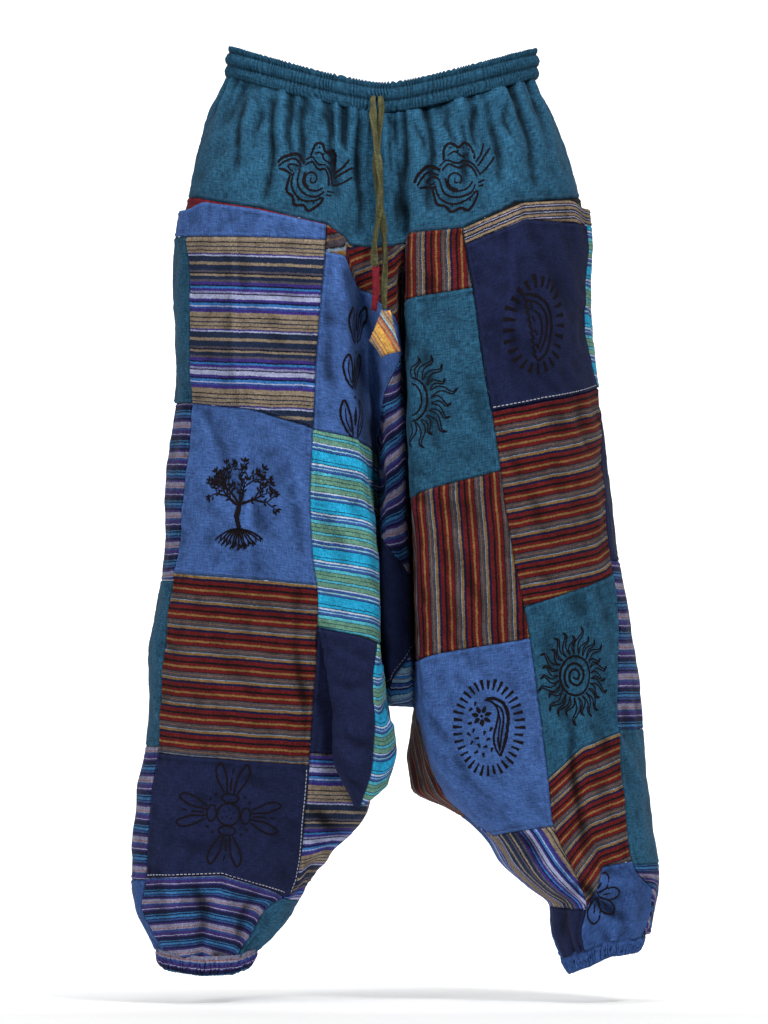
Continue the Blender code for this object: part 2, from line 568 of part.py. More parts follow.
def patch_grid(start, end, head, foot, lift=None):
    """Outer and inner points of a patch, drawn in by half the seam gap on every side."""
    stations = columns_between(start, end)
    top, bottom = seam_at(head, stations), seam_at(foot, stations)
    levels = GRID_DROPS[(GRID_DROPS > top.min()) & (GRID_DROPS < bottom.max())]
    drops = np.array([top] + [np.clip(level, top, bottom) for level in levels] + [bottom])
    stations = np.broadcast_to(stations, drops.shape)
    here, normal, across, down = facet_frame(stations, drops, lift)
    half = SEAM_GAP / 2
    here += down * (half * ((drops <= top) * 1.0 - (drops >= bottom) * 1.0))[..., None]
    here[:, 0] += across[:, 0] * half
    here[:, -1] -= across[:, -1] * half
    return here, here - normal * WALL


def drawn_in(stations, drops):
    """Outer and inner points of a wall on the cloth, held back from its seams."""
    here, normal, across, down = frame_at(stations, drops)
    half = SEAM_GAP / 2
    here[:, 0] += across[:, 0] * half
    here[:, -1] -= across[:, -1] * half
    here[0] += down[0] * half
    here[-1] -= down[-1] * half
    return here, here - normal * WALL


def add_patches():
    """Every patch that is sewn into the garment's own surface."""
    for name, start, end, head, foot, fabric in PATCHES:
        outer, inner = patch_grid(start, end, head, foot)
        add_wall(name, outer, inner, fabric)


def add_gusset_turn():
    """Light blue patch that runs from the front under the crotch to the back."""
    front = columns_between(LV, RV)
    back = columns_between(RBV, LBV + STATIONS)[::-1]
    turn_head = CROTCH_DROP - CROTCH_TURN
    rows = []
    head = np.arcsin(np.clip((seam_at("gusset_navy_foot", front) - turn_head) / CROTCH_TURN, 0, 1))
    for share in np.linspace(0, 1, 6):
        angle = head + (math.pi / 2 - head) * share
        rows.append(cloth_at(front, turn_head + CROTCH_TURN * np.sin(angle)))
    for degrees in (108, 126, 144, 162, 180):
        angle = math.radians(degrees)
        rows.append(cloth_at(back, turn_head + CROTCH_TURN * math.sin(angle)))
    foot = seam_at("gusset_back", back)
    rows += [cloth_at(back, (turn_head + foot) / 2), cloth_at(back, foot)]
    here = np.array(rows)
    across, down = unit(np.gradient(here, axis=1)), unit(np.gradient(here, axis=0))
    normal = unit(np.cross(down, across))
    here[0], normal[0], _, down[0] = facet_frame(front, seam_at("gusset_navy_foot", front))
    here[-1], normal[-1], _, back_down = facet_frame(back, foot)
    down[-1] = -back_down
    half = SEAM_GAP / 2
    here[:, 0] += across[:, 0] * half
    here[:, -1] -= across[:, -1] * half
    here[0] += down[0] * half
    here[-1] -= down[-1] * half
    add_wall("gusset_light_turn", here, here - normal * WALL, "light_stripe")


def pocket_lift(side):
    """How far a pocket stands off the leg: most at the middle of its mouth."""
    if side == "left":
        near, far, mouth, foot = LO, LM, "left_pocket_mouth", "left_pocket_foot"
    else:
        near, far, mouth, foot = RO, RM, "right_pocket_mouth", "right_pocket_foot"

    def lift(station, drop):
        top, bottom = seam_at(mouth, station), seam_at(foot, station)
        down = np.clip((drop - top) / (bottom - top), 0, 1)
        across = np.clip((station - far) / (near - far), 0, 1)
        bow = np.sin(np.pi * across ** 0.8)
        return POCKET_LIFT + (POCKET_GAPE * bow + 3.0 * across) * (1 - down) ** 1.6
    return lift


def add_pockets():
    """Patch pockets: hem band, panel and side piece over each backing."""
    for name, start, end, head, foot, fabric in POCKETS:
        lift = pocket_lift(name.split("_")[0])
        outer, inner = patch_grid(start, end, head, foot, lift)
        add_wall(name, outer, inner, fabric)


def band_top(x):
    """Drop of the waistband's top edge, which dips at the middle of the front and back."""
    out = np.hypot(x, BAND_DIP_WIDTH) - BAND_DIP_WIDTH
    return BAND_SIDE_RISE / 2 - BAND_SIDE_RISE * (out / BAND_HALF_WIDTH) ** 1.15


def band_edges(stations):
    """Drops of the waistband's top and bottom edges."""
    middle = np.full(np.shape(stations), 30.0)
    x = plan_at(np.asarray(stations, float), middle)[0][..., 0]
    top = band_top(x)
    return top, top + BAND_HEIGHT


def even_columns(start, end, drop_of, count):
    """Stations an even distance apart round a closed ring."""
    stations = np.linspace(start, end, 1201)
    points = cloth_at(stations, drop_of(stations))
    lengths = np.concatenate([[0], np.cumsum(np.linalg.norm(np.diff(points, axis=0), axis=1))])
    return np.interp(np.arange(count) / count * lengths[-1], lengths, stations)


# Outline of the waistband's roll: share of its height, and how far it stands out
BAND_PROFILE = ((0.0, 1.5), (0.14, 2.5), (0.20, 0.8), (0.42, 4.0), (0.64, 1.2), (0.82, 2.6), (1.0, 0.6))


def add_gathered_ring(name, stations, top, bottom, profile, depth, fabric):
    """Elastic band: gathers raised on its outer points over a plain inside."""
    raised = np.where(np.arange(len(stations)) % 2, 0.0, depth)
    half = SEAM_GAP / 2
    outer = []
    for share, bulge in profile:
        drop = (top + half) + (bottom - top - 2 * half) * share
        here, normal, _, _ = frame_at(stations, drop)
        outer.append(here + normal * (bulge + raised * (0.35 + 0.65 * (0 < share < 1)))[:, None])
    inner = []
    for share in (0.0, 1.0):
        drop = (top + half) + (bottom - top - 2 * half) * share
        here, normal, _, _ = frame_at(stations, drop)
        inner.append(here - normal * WALL)
    add_wall(name, np.array(outer), np.array(inner), fabric, ring=True)


def add_waistband():
    """Gathered casing round the waist."""
    count = BAND_GATHERS * 2
    stations = even_columns(FIRST, FIRST + STATIONS, lambda s: band_edges(s)[0] + 15, count)
    top, bottom = band_edges(stations)
    add_gathered_ring("waistband", stations, top, bottom, BAND_PROFILE, GATHER_DEPTH, "teal")


CUFF_PROFILE = ((0.0, 0.3), (0.45, 2.2), (1.0, 0.4))


def add_cuffs():
    """Gathered elastic cuffs."""
    for name, start, seam, fabric in (("left_cuff", LBV, "left_cuff", "purple_stripe"),
                                      ("right_cuff", RV, "right_cuff", "blue")):
        stations = even_columns(start, start + 9, lambda s: seam_at(seam, s), CUFF_GATHERS * 2)
        top = seam_at(seam, stations) + CUFF_EASE
        add_gathered_ring(name, stations, top, top + CUFF_HEIGHT, CUFF_PROFILE, 1.6, fabric)


def add_yoke():
    """Front and back of the teal yoke, from the waistband to the yoke seam."""
    for name, start, end in (("yoke_front", LO, RO), ("yoke_back", RO, LO + STATIONS)):
        stations = columns_between(start, end, YOKE_FINENESS)
        wrapped = np.where(stations > LBV + STATIONS, stations - STATIONS, stations)
        top = band_edges(stations)[1] + BAND_EASE
        bottom = seam_at("yoke", wrapped)
        share = np.linspace(0, 1, 5)[:, None] ** 0.9
        drops = top + (bottom - top) * share
        outer, inner = drawn_in(np.broadcast_to(stations, drops.shape), drops)
        coarse = columns_between(start, end)
        foot = seam_at("yoke", np.where(coarse > LBV + STATIONS, coarse - STATIONS, coarse))
        here, normal, across, down = facet_frame(coarse, foot)
        here -= down * SEAM_GAP / 2
        here[0] += across[0] * SEAM_GAP / 2
        here[-1] -= across[-1] * SEAM_GAP / 2
        for layer, edge in ((outer, here), (inner, here - normal * WALL)):
            layer[-1] = np.stack([np.interp(stations, coarse, edge[:, i]) for i in range(3)], axis=-1)
        add_wall(name, outer, inner, "teal")


def add_pouch():
    """Pouch fold that hangs over the left lower leg, as a navy flap and a turquoise edge."""
    heads = cloth_at([s for s, _ in POUCH_HEAD], [d for _, d in POUCH_HEAD], POUCH_HEAD_LIFT)
    lines = []
    for head, (_, points) in zip(heads, POUCH_LINES):
        table = np.array([head] + [(x, y, -drop) for x, y, drop in points])
        lines.append(np.array([monotone(range(5), table[:, i], np.linspace(0, 4, 9)) for i in range(3)]).T)
    grid = np.array(lines).transpose(1, 0, 2)
    smooth = np.array([[spline_point(row, u) for u in np.linspace(0, 6, 13)] for row in grid])
    across = np.gradient(smooth, axis=1)
    down = np.gradient(smooth, axis=0)
    normal = unit(np.cross(down, across))
    split = 6
    for name, part, fabric, sides in (("pouch_navy", slice(0, split + 1), "navy", (0, -1)),
                                      ("pouch_turquoise", slice(split, None), "turquoise_stripe", (1, 0))):
        outer = smooth[:, part].copy()
        steps = unit(across[:, part])
        outer[:, -1] += steps[:, -1] * sides[1] * SEAM_GAP / 2
        outer[:, 0] += steps[:, 0] * sides[0] * SEAM_GAP / 2
        add_wall(name, outer, outer - normal[:, part] * WALL, fabric)


def spline_point(points, at):
    """Point of a smooth curve through points, at a place counted in points."""
    k = min(int(at), len(points) - 2)
    t = at - k
    p1, p2 = points[k], points[k + 1]
    p0 = points[k - 1] if k else 2 * p1 - p2
    p3 = points[k + 2] if k + 2 < len(points) else 2 * p2 - p1
    return 0.5 * (2 * p1 + (p2 - p0) * t + (2 * p0 - 5 * p1 + 4 * p2 - p3) * t * t
                  + (3 * p1 - p0 - 3 * p2 + p3) * t ** 3)


def add_cord(name, route):
    """One end of the drawstring as a plain tube along its route."""
    points = np.array([(x, y, -drop) for x, y, drop in route], float)
    length = np.linalg.norm(np.diff(points, axis=0), axis=1).sum()
    count = int(length / CORD_STEP)
    places = [spline_point(points, (len(points) - 1) * i / count) for i in range(count + 1)]
    curve = bpy.data.curves.new(name, "CURVE")
    curve.dimensions = "3D"
    curve.bevel_depth = CORD_RADIUS * MM
    curve.bevel_resolution = 2
    curve.use_fill_caps = True
    spline = curve.splines.new("POLY")
    spline.points.add(len(places) - 1)
    for point, place in zip(spline.points, places):
        point.co = (*in_metres(place), 1)
    return add_object(name, curve, "olive")


def add_tab(name, outline, depth, fabric):
    """Flat padded tab sewn to the end of a drawstring."""
    curve = bpy.data.curves.new(name, "CURVE")
    curve.dimensions = "2D"
    curve.fill_mode = "BOTH"
    curve.extrude = TAB_THICKNESS / 2 * MM
    spline = curve.splines.new("POLY")
    spline.points.add(len(outline) - 1)
    for point, (x, z) in zip(spline.points, outline):
        point.co = (x * MM, z * MM, 0, 1)
    spline.use_cyclic_u = True
    tab = add_object(name, curve, fabric)
    tab.rotation_euler = (math.radians(90), 0, 0)
    tab.location = (0, -depth * MM, 0)
    return tab


clear_scene()
collection = bpy.data.collections.new("patchwork_pants")
bpy.context.scene.collection.children.link(collection)
add_waistband()
add_yoke()
add_patches()
add_gusset_turn()
add_pockets()
add_pouch()
add_cuffs()
add_cord("drawstring_short", SHORT_CORD)
add_cord("drawstring_long", LONG_CORD)
add_tab("tab_maroon", MAROON_TAB, MAROON_TAB_DEPTH, "maroon")
add_tab("tab_yellow", YELLOW_TAB, YELLOW_TAB_DEPTH, "yellow")
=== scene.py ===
"""Looks of the patchwork harem pants: cloth shells, prints, stitches and drawstring.

The cloth is the part's own surface, cloth_at(station, drop), drawn finer and with its creases and gathers.
Tables are in millimetres, with +X to the viewer's right and +Y to the back, and meshes are in metres.
"""
import math

import bmesh
import bpy
import numpy as np
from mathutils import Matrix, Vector
from mathutils.bvhtree import BVHTree


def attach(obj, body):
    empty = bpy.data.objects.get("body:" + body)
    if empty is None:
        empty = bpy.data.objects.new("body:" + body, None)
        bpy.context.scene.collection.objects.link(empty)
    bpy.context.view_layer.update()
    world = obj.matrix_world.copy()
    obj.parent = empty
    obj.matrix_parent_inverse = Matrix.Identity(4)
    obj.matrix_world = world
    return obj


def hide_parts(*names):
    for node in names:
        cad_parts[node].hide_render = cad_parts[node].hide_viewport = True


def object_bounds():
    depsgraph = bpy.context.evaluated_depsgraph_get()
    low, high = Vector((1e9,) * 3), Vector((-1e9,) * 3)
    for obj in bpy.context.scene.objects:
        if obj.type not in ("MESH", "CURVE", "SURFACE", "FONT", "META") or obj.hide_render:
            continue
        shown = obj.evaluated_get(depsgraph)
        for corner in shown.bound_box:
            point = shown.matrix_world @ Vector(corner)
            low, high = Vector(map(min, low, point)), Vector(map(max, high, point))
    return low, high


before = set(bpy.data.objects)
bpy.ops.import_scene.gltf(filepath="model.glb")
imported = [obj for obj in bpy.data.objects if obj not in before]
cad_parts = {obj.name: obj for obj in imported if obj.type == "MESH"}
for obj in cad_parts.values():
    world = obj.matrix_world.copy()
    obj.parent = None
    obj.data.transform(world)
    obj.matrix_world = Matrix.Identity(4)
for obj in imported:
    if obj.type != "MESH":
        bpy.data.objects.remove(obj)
cad_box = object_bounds()

# Driving dimensions, in millimetres, and shares that shape the plan
MM = 0.001
SEAM_GAP = 0.34
POCKET_LIFT = 2.0
POCKET_GAPE = 15.0
BAND_HEIGHT = 33.0
BAND_SIDE_RISE = 40.0
BAND_HALF_WIDTH = 157.0
BAND_DIP_WIDTH = 12.0
BAND_EASE = 0.6
CUFF_HEIGHT = 17.0
CUFF_EASE = 0.6
CROTCH_DROP = 691.0
CROTCH_TURN = 60.0
ROUNDNESS = 2.3
BACK_TURN = 0.80
FOLD_SHARPNESS = 0.65

# Stations, from the left leg's back seam round the front to the right leg's back seam and the back gusset
(LBV, LBE, LBM, LBO, LO, LS, LW, LM, LE, LV, CL, CR,
 RV, RE, RM, RW, RS, RO, RBO, RBM, RBE, RBV, BCR, BCL) = range(-4, 20)
STATIONS = 24
FIRST = LBV

LINE_COLUMNS = ("drop", "outer", "strip", "seam", "edge", "valley", "back_edge", "crown")
LEFT_LINES = (
    (-25, -165, -153, -67, -29, -20, -37, -7),
    (13, -171, -158, -67, -30, -21, -39, -7),
    (46, -188, -171, -67, -31, -22, -41, -9),
    (89, -202, -184, -64, -34, -25, -42, -17),
    (143, -214, -197, -61, -39, -31, -42, -42),
    (197, -222, -203, -63, -42, -36, -40, -78),
    (252, -224, -203, -68, -38, -26, -37, -102),
    (306, -224, -204, -72, -34, -16, -34, -113),
    (360, -225, -207, -75, -29, -11, -30, -118),
    (414, -231, -212, -77, -25, -8, -26, -124),
    (469, -238, -217, -79, -20, -7, -23, -128),
    (523, -240, -222, -77, -15, -5, -18, -130),
    (577, -244, -230, -71, -11, -5, -14, -132),
    (631, -252, -237, -72, -8, -3, -10, -139),
    (686, -255, -242, -76, -11, -1, -5, -145),
    (740, -260, -246, -80, -22, -8, -11, -150),
    (783, -267, -250, -82, -28, -14, -20, -156),
    (812, -270, -252, -84, -35, -22, -29, -161),
    (838, -273, -254, -86, -56, -44, -53, -165),
    (865, -275, -257, -90, -79, -69, -77, -171),
    (892, -275, -261, -98, -93, -89, -94, -181),
    (908, -273, -265, -125, -106, -97, -105, -186),
    (935, -261, -253, -140, -126, -114, -125, -189),
    (962, -246, -238, -156, -148, -139, -148, -193),
    (990, -238, -230, -165, -158, -153, -161, -195),
)
RIGHT_LINES = (
    (-25, 163, 152, 61, 21, 10, 28, 2),
    (13, 165, 155, 63, 22, 11, 30, 2),
    (46, 181, 167, 67, 22, 12, 34, 7),
    (89, 196, 182, 74, 24, 14, 36, 17),
    (143, 209, 199, 80, 25, 18, 37, 44),
    (197, 217, 210, 87, 23, 21, 35, 77),
    (252, 220, 214, 97, 23, 20, 30, 104),
    (306, 225, 219, 104, 26, 21, 28, 115),
    (360, 230, 228, 113, 28, 25, 28, 123),
    (414, 237, 233, 122, 29, 27, 29, 129),
    (469, 246, 240, 129, 31, 28, 30, 137),
    (523, 254, 245, 138, 35, 30, 31, 142),
    (577, 263, 250, 149, 37, 31, 33, 148),
    (631, 269, 252, 159, 38, 33, 33, 154),
    (686, 276, 253, 166, 40, 35, 33, 158),
    (740, 282, 256, 173, 52, 46, 27, 163),
    (783, 288, 259, 178, 72, 61, 30, 176),
    (812, 290, 261, 181, 97, 87, 88, 191),
    (838, 292, 264, 189, 122, 113, 115, 204),
    (865, 295, 270, 202, 141, 131, 135, 217),
    (892, 294, 289, 213, 169, 161, 165, 230),
    (908, 291, 288, 217, 190, 181, 187, 239),
    (935, 285, 281, 213, 193, 182, 189, 237),
    (962, 275, 270, 220, 200, 191, 197, 239),
    (990, 267, 264, 228, 210, 205, 210, 239),
)
DEPTH_COLUMNS = ("drop", "front", "left_edge", "left_valley", "right_edge", "right_valley", "right_inseam",
                 "back", "back_edge", "back_valley")
DEPTHS = (
    (-25, 103, 102, 103, 102, 103, 0, 104, 102, 101),
    (13, 110, 110, 110, 110, 110, 0, 112, 110, 108),
    (46, 116, 116, 116, 116, 116, 0, 120, 117, 114),
    (89, 127, 127, 127, 127, 126, 0, 132, 128, 123),
    (143, 139, 139, 139, 139, 137, 0, 147, 140, 131),
    (197, 145, 144, 141, 143, 136, 0, 155, 142, 122),
    (252, 149, 143, 124, 143, 104, 0, 158, 139, 102),
    (306, 151, 141, 106, 141, 76, 0, 157, 133, 86),
    (360, 151, 139, 86, 138, 54, 0, 152, 127, 72),
    (469, 145, 130, 42, 128, 32, 0, 140, 115, 52),
    (577, 131, 116, 24, 114, 22, 0, 126, 104, 38),
    (631, 123, 108, 20, 106, 20, 0, 119, 98, 31),
    (686, 115, 72, 18, 98, 18, 0, 112, 90, 26),
    (740, 106, 64, 16, 84, 16, 34, 105, 80, 24),
    (783, 98, 58, 16, 66, 16, 30, 98, 68, 24),
    (838, 91, 48, 16, 48, 16, 8, 90, 54, 24),
    (892, 82, 40, 16, 40, 16, 0, 80, 44, 24),
    (935, 66, 32, 16, 32, 16, 0, 64, 34, 24),
    (962, 50, 26, 16, 26, 16, 0, 50, 27, 24),
    (990, 44, 24, 16, 24, 16, 0, 44, 24, 24),
)
GUSSET_COLUMNS = ("drop", "left", "right", "front", "back")
GUSSET = (
    (-25, -11, 2, 103, 102),
    (46, -11, 3, 117, 115),
    (143, -14, 8, 138, 134),
    (197, -18, 11, 140, 131),
    (252, -9, 13, 134, 120),
    (306, -2, 16, 125, 108),
    (360, 0, 18, 115, 98),
    (469, 0, 22, 93, 82),
    (577, 2, 26, 73, 66),
    (686, 8, 29, 56, 52),
    (751, 8, 29, 50, 46),
)

# Seams: the drop where each crosses the stations, straight between them
SEAMS = {
    "yoke": ((LBV, 158), (LBM, 158), (LO, 141), (LS, 143), (LW, 156), (LM, 173), (LE, 187), (LV, 196),
             (CL, 198), (CR, 197), (RV, 193), (RE, 183), (RM, 177), (RW, 149), (RS, 143), (RO, 141),
             (RBM, 158), (RBV, 158), (BCR, 158), (LBV + STATIONS, 158)),
    "left_pocket_mouth": ((LO, 157), (LS, 156), (LW, 157), (LM, 175)),
    "left_hem": ((LO, 184), (LS, 185), (LW, 187), (LM, 190)),
    "left_pocket_foot": ((LBV, 366), (LO, 364), (LS, 364), (LW, 371), (LM, 391)),
    "left_tree_foot": ((LS, 547), (LW, 553), (LM, 560)),
    "left_red_foot": ((LS, 741), (LW, 748), (LM, 754)),
    "left_navy_foot": ((LS, 877), (LW, 873), (LM, 899)),
    "left_cuff": ((LBV, 958), (LO, 956), (LW, 966), (LM, 965), (LV, 958)),
    "centre_red_foot": ((LM, 202), (LE, 207), (LV, 241), (CL, 251), (CR, 277), (RV, 300)),
    "centre_blue_foot": ((LM, 393), (LE, 405), (LV, 420), (CL, 357), (CR, 317), (RV, 308)),
    "gusset_purple_foot": ((LV, 501), (CL, 512), (CR, 548), (RV, 552)),
    "gusset_navy_foot": ((LV, 675), (CL, 668), (CR, 634), (RV, 629)),
    "turquoise_foot": ((LM, 605), (LE, 622), (LV, 626)),
    "inner_navy_foot": ((LM, 741), (LE, 743), (LV, 745)),
    "inner_tan_foot": ((LM, 899), (LE, 901), (LV, 903)),
    "left_back_2": ((LBV, 558), (LS, 555)),
    "left_back_3": ((LBV, 736), (LS, 735)),
    "left_back_4": ((LBV, 884), (LS, 879)),
    "right_pocket_mouth": ((RM, 179), (RW, 152), (RS, 154), (RO, 156)),
    "right_hem": ((RM, 195), (RW, 168), (RS, 172), (RO, 175)),
    "right_pocket_foot": ((RM, 373), (RW, 362), (RS, 347), (RO, 347), (RBV, 352)),
    "right_red_foot": ((RM, 584), (RW, 568), (RS, 548)),
    "right_sun_foot": ((RM, 769), (RW, 734), (RS, 719)),
    "right_rust_foot": ((RM, 907), (RW, 864), (RS, 858)),
    "right_cuff": ((RV, 966), (RE, 963), (RM, 956), (RW, 945), (RO, 939), (RBM, 948), (RBV, 964)),
    "right_small_foot": ((RV, 262), (RE, 255), (RM, 241)),
    "half_sun_foot": ((RV, 470), (RE, 466), (RM, 437)),
    "right_upright_foot": ((RV, 643), (RE, 641), (RM, 617)),
    "paisley_foot": ((RV, 812), (RE, 832), (RM, 820)),
    "right_tan_foot": ((RV, 909), (RE, 910), (RM, 911)),
    "right_back_2": ((RS, 534), (RBV, 540)),
    "right_back_3": ((RS, 716), (RBV, 720)),
    "right_back_4": ((RS, 862), (RBV, 866)),
    "inside_red_foot": ((RBE, 812), (RBV, 812)),
    "gusset_back": ((RBV, 560), (BCR, 566), (BCL, 566), (LBV + STATIONS, 560)),
}

# Patches: first and last station, head and foot seam, cloth, turn of its stripes and where they start
PATCHES = (
    ("left_pocket_backing", LO, LM, "yoke", "left_pocket_foot", "maroon"),
    ("left_blue_tree", LS, LM, "left_pocket_foot", "left_tree_foot", "blue"),
    ("left_red_stripe", LS, LM, "left_tree_foot", "left_red_foot", "red_stripe"),
    ("left_navy_vajra", LS, LM, "left_red_foot", "left_navy_foot", "navy"),
    ("left_purple_cuff_patch", LS, LM, "left_navy_foot", "left_cuff", "purple_stripe", 0, 6),
    ("centre_red_stripe", LM, RV, "yoke", "centre_red_foot", "red_stripe", 24, 8),
    ("centre_blue_leaf", LM, RV, "centre_red_foot", "centre_blue_foot", "blue"),
    ("left_turquoise", LM, LV, "centre_blue_foot", "turquoise_foot", "turquoise_stripe"),
    ("left_inner_navy", LM, LV, "turquoise_foot", "inner_navy_foot", "navy"),
    ("left_inner_tan", LM, LV, "inner_navy_foot", "inner_tan_foot", "tan_stripe", 0, 46),
    ("left_teal_cuff_patch", LM, LV, "inner_tan_foot", "left_cuff", "teal"),
    ("gusset_purple", LV, RV, "centre_blue_foot", "gusset_purple_foot", "purple_stripe", -38, 0),
    ("gusset_navy", LV, RV, "gusset_purple_foot", "gusset_navy_foot", "navy"),
    ("left_back_teal_upper", LBV, LO, "yoke", "left_pocket_foot", "teal"),
    ("left_back_purple_upper", LBV, LS, "left_pocket_foot", "left_back_2", "purple_stripe", 0, 12),
    ("left_back_teal_lower", LBV, LS, "left_back_2", "left_back_3", "teal"),
    ("left_back_purple_lower", LBV, LS, "left_back_3", "left_back_4", "purple_stripe"),
    ("left_back_blue", LBV, LS, "left_back_4", "left_cuff", "blue_deep"),
    ("right_pocket_backing", RM, RO, "yoke", "right_pocket_foot", "black"),
    ("right_red_stripe", RM, RS, "right_pocket_foot", "right_red_foot", "red_stripe", 0, 4),
    ("right_teal_sun", RM, RS, "right_red_foot", "right_sun_foot", "teal"),
    ("right_red_lower", RM, RS, "right_sun_foot", "right_rust_foot", "red_stripe"),
    ("right_blue_cuff_patch", RM, RS, "right_rust_foot", "right_cuff", "blue_deep"),
    ("right_red_small", RV, RM, "yoke", "right_small_foot", "red_stripe", 90, 5),
    ("right_teal_half_sun", RV, RM, "right_small_foot", "half_sun_foot", "teal"),
    ("right_red_upright", RV, RM, "half_sun_foot", "right_upright_foot", "red_stripe", 90, 12),
    ("right_blue_paisley", RV, RM, "right_upright_foot", "paisley_foot", "blue"),
    ("right_tan_stripe", RV, RM, "paisley_foot", "right_tan_foot", "tan_stripe", 90, 30),
    ("right_navy_cuff_patch", RV, RM, "right_tan_foot", "right_cuff", "navy"),
    ("right_back_turquoise", RO, RBV, "yoke", "right_pocket_foot", "turquoise_stripe", 0, 20),
    ("right_back_navy", RS, RBV, "right_pocket_foot", "right_back_2", "navy"),
    ("right_back_purple", RS, RBE, "right_back_2", "right_back_3", "purple_stripe", 0, 8),
    ("right_back_teal", RS, RBE, "right_back_3", "right_back_4", "teal"),
    ("right_back_purple_cuff", RS, RBE, "right_back_4", "right_cuff", "purple_stripe", 0, 20),
    ("right_inside_red", RBE, RBV, "right_back_2", "inside_red_foot", "red_stripe", 90, 0),
    ("right_inside_blue", RBE, RBV, "inside_red_foot", "right_cuff", "blue_deep"),
    ("gusset_back_navy", RBV, LBV + STATIONS, "yoke", "gusset_back", "navy"),
)
# Pocket pieces, in the same columns: they lie over the backing, moved out by the pocket's lift
POCKETS = (
    ("left_pocket_hem", LO, LM, "left_pocket_mouth", "left_hem", "blue"),
    ("left_pocket_side", LO, LS, "left_hem", "left_pocket_foot", "teal"),
    ("left_pocket_panel", LS, LM, "left_hem", "left_pocket_foot", "tan_stripe"),
    ("right_pocket_hem", RM, RO, "right_pocket_mouth", "right_hem", "hem_stripe"),
    ("right_pocket_panel", RM, RS, "right_hem", "right_pocket_foot", "navy"),
    ("right_pocket_side", RS, RO, "right_hem", "right_pocket_foot", "turquoise_stripe", 0, 30),
)

# Folds down the cloth, ridges and troughs: side, x, lean, head, foot, width and height above the cloth
FOLDS = (
    ("front", -152, -10, 20, 170, 9, 4.0),
    ("front", -128, -10, 30, 175, 8, -4.0),
    ("front", -104, -8, 35, 190, 9, 4.5),
    ("front", -78, -6, 40, 165, 8, -5.0),
    ("front", -56, -4, 45, 200, 9, 4.0),
    ("front", -30, -3, 50, 215, 8, -6.0),
    ("front", -12, 0, 50, 150, 8, 4.0),
    ("front", 12, 4, 50, 215, 8, -6.5),
    ("front", 34, 5, 50, 170, 9, 4.0),
    ("front", 58, 7, 45, 190, 8, -4.5),
    ("front", 82, 9, 40, 165, 9, 4.5),
    ("front", 108, 12, 35, 180, 8, -4.0),
    ("front", 134, 14, 25, 150, 9, 4.0),
    ("back", -120, -10, 25, 180, 10, -4.5),
    ("back", -84, -6, 35, 170, 10, 4.5),
    ("back", -44, -4, 45, 200, 9, -5.0),
    ("back", 2, 0, 50, 170, 10, 4.5),
    ("back", 46, 4, 45, 200, 9, -5.0),
    ("back", 88, 8, 35, 175, 10, 4.5),
    ("back", 126, 12, 25, 180, 10, -4.5),
    ("front", 222, 2, 700, 900, 9, 5.0),
    ("back", -190, 4, 640, 880, 14, -5.0),
    ("back", 215, 4, 620, 860, 14, -5.0),
)
# The pouch fold over the left lower leg: points down each line, as x, y and drop
POUCH_HEAD_LIFT = 2.4
POUCH_HEAD = ((LM + 0.02, 608), (LM + 0.07, 609), (LM + 0.50, 614.5), (LE - 0.02, 623.5), (LE + 0.10, 626),
              (LE + 0.25, 630), (LE + 0.36, 634))
POUCH_LINES = (
    ("curl", ((-57, -117, 651), (-49, -103, 699), (-48, -98, 746), (-29, -88, 792))),
    ("fold", ((-62, -123, 651), (-54, -114, 699), (-52, -109, 746), (-32, -97, 794))),
    ("middle", ((-36, -125, 664), (-33, -128, 712), (-34, -123, 760), (-29, -106, 799))),
    ("seam", ((-9, -119, 666), (-9, -121, 707), (-14, -115, 755), (-26, -104, 798))),
    ("right", ((1, -80, 664), (4, -72, 699), (13, -68, 736), (1, -70, 777))),
    ("inside", ((2, -40, 675), (7, -10, 710), (8, 10, 738), (-1, 0, 764))),
    ("close", ((1.5, -24, 675), (3, 4, 710), (-1, 20, 738), (-6, 10, 764))),
)

# Drawstring ends: where they hang in front of the cloth, as x, y and drop
SHORT_CORD = ((-12, -120.9, 36), (-12, -134, 42), (-12, -143, 60), (-9, -151, 85), (-5, -156, 110),
              (-3, -158, 132), (-5, -158, 155), (-8, -157, 180), (-10, -156, 200), (-9.5, -156, 217.6))
LONG_CORD = ((-3, -121.3, 36), (-3, -134, 42), (-4, -138, 60), (-6, -142, 85), (-8, -145, 110),
             (-7, -146, 132), (-4, -148, 155), (0, -150, 185), (1, -151, 215), (0, -151, 245),
             (1, -151, 264.6))
MAROON_TAB = ((-13, -218), (-5, -218), (-4, -243), (-8, -268), (-14, -266), (-12.5, -243))
MAROON_TAB_DEPTH = 156.0
YELLOW_TAB = ((-3, -265), (7, -265), (18, -310), (-3, -316), (-16, -298))
YELLOW_TAB_DEPTH = 151.0
TAB_THICKNESS = 5.0


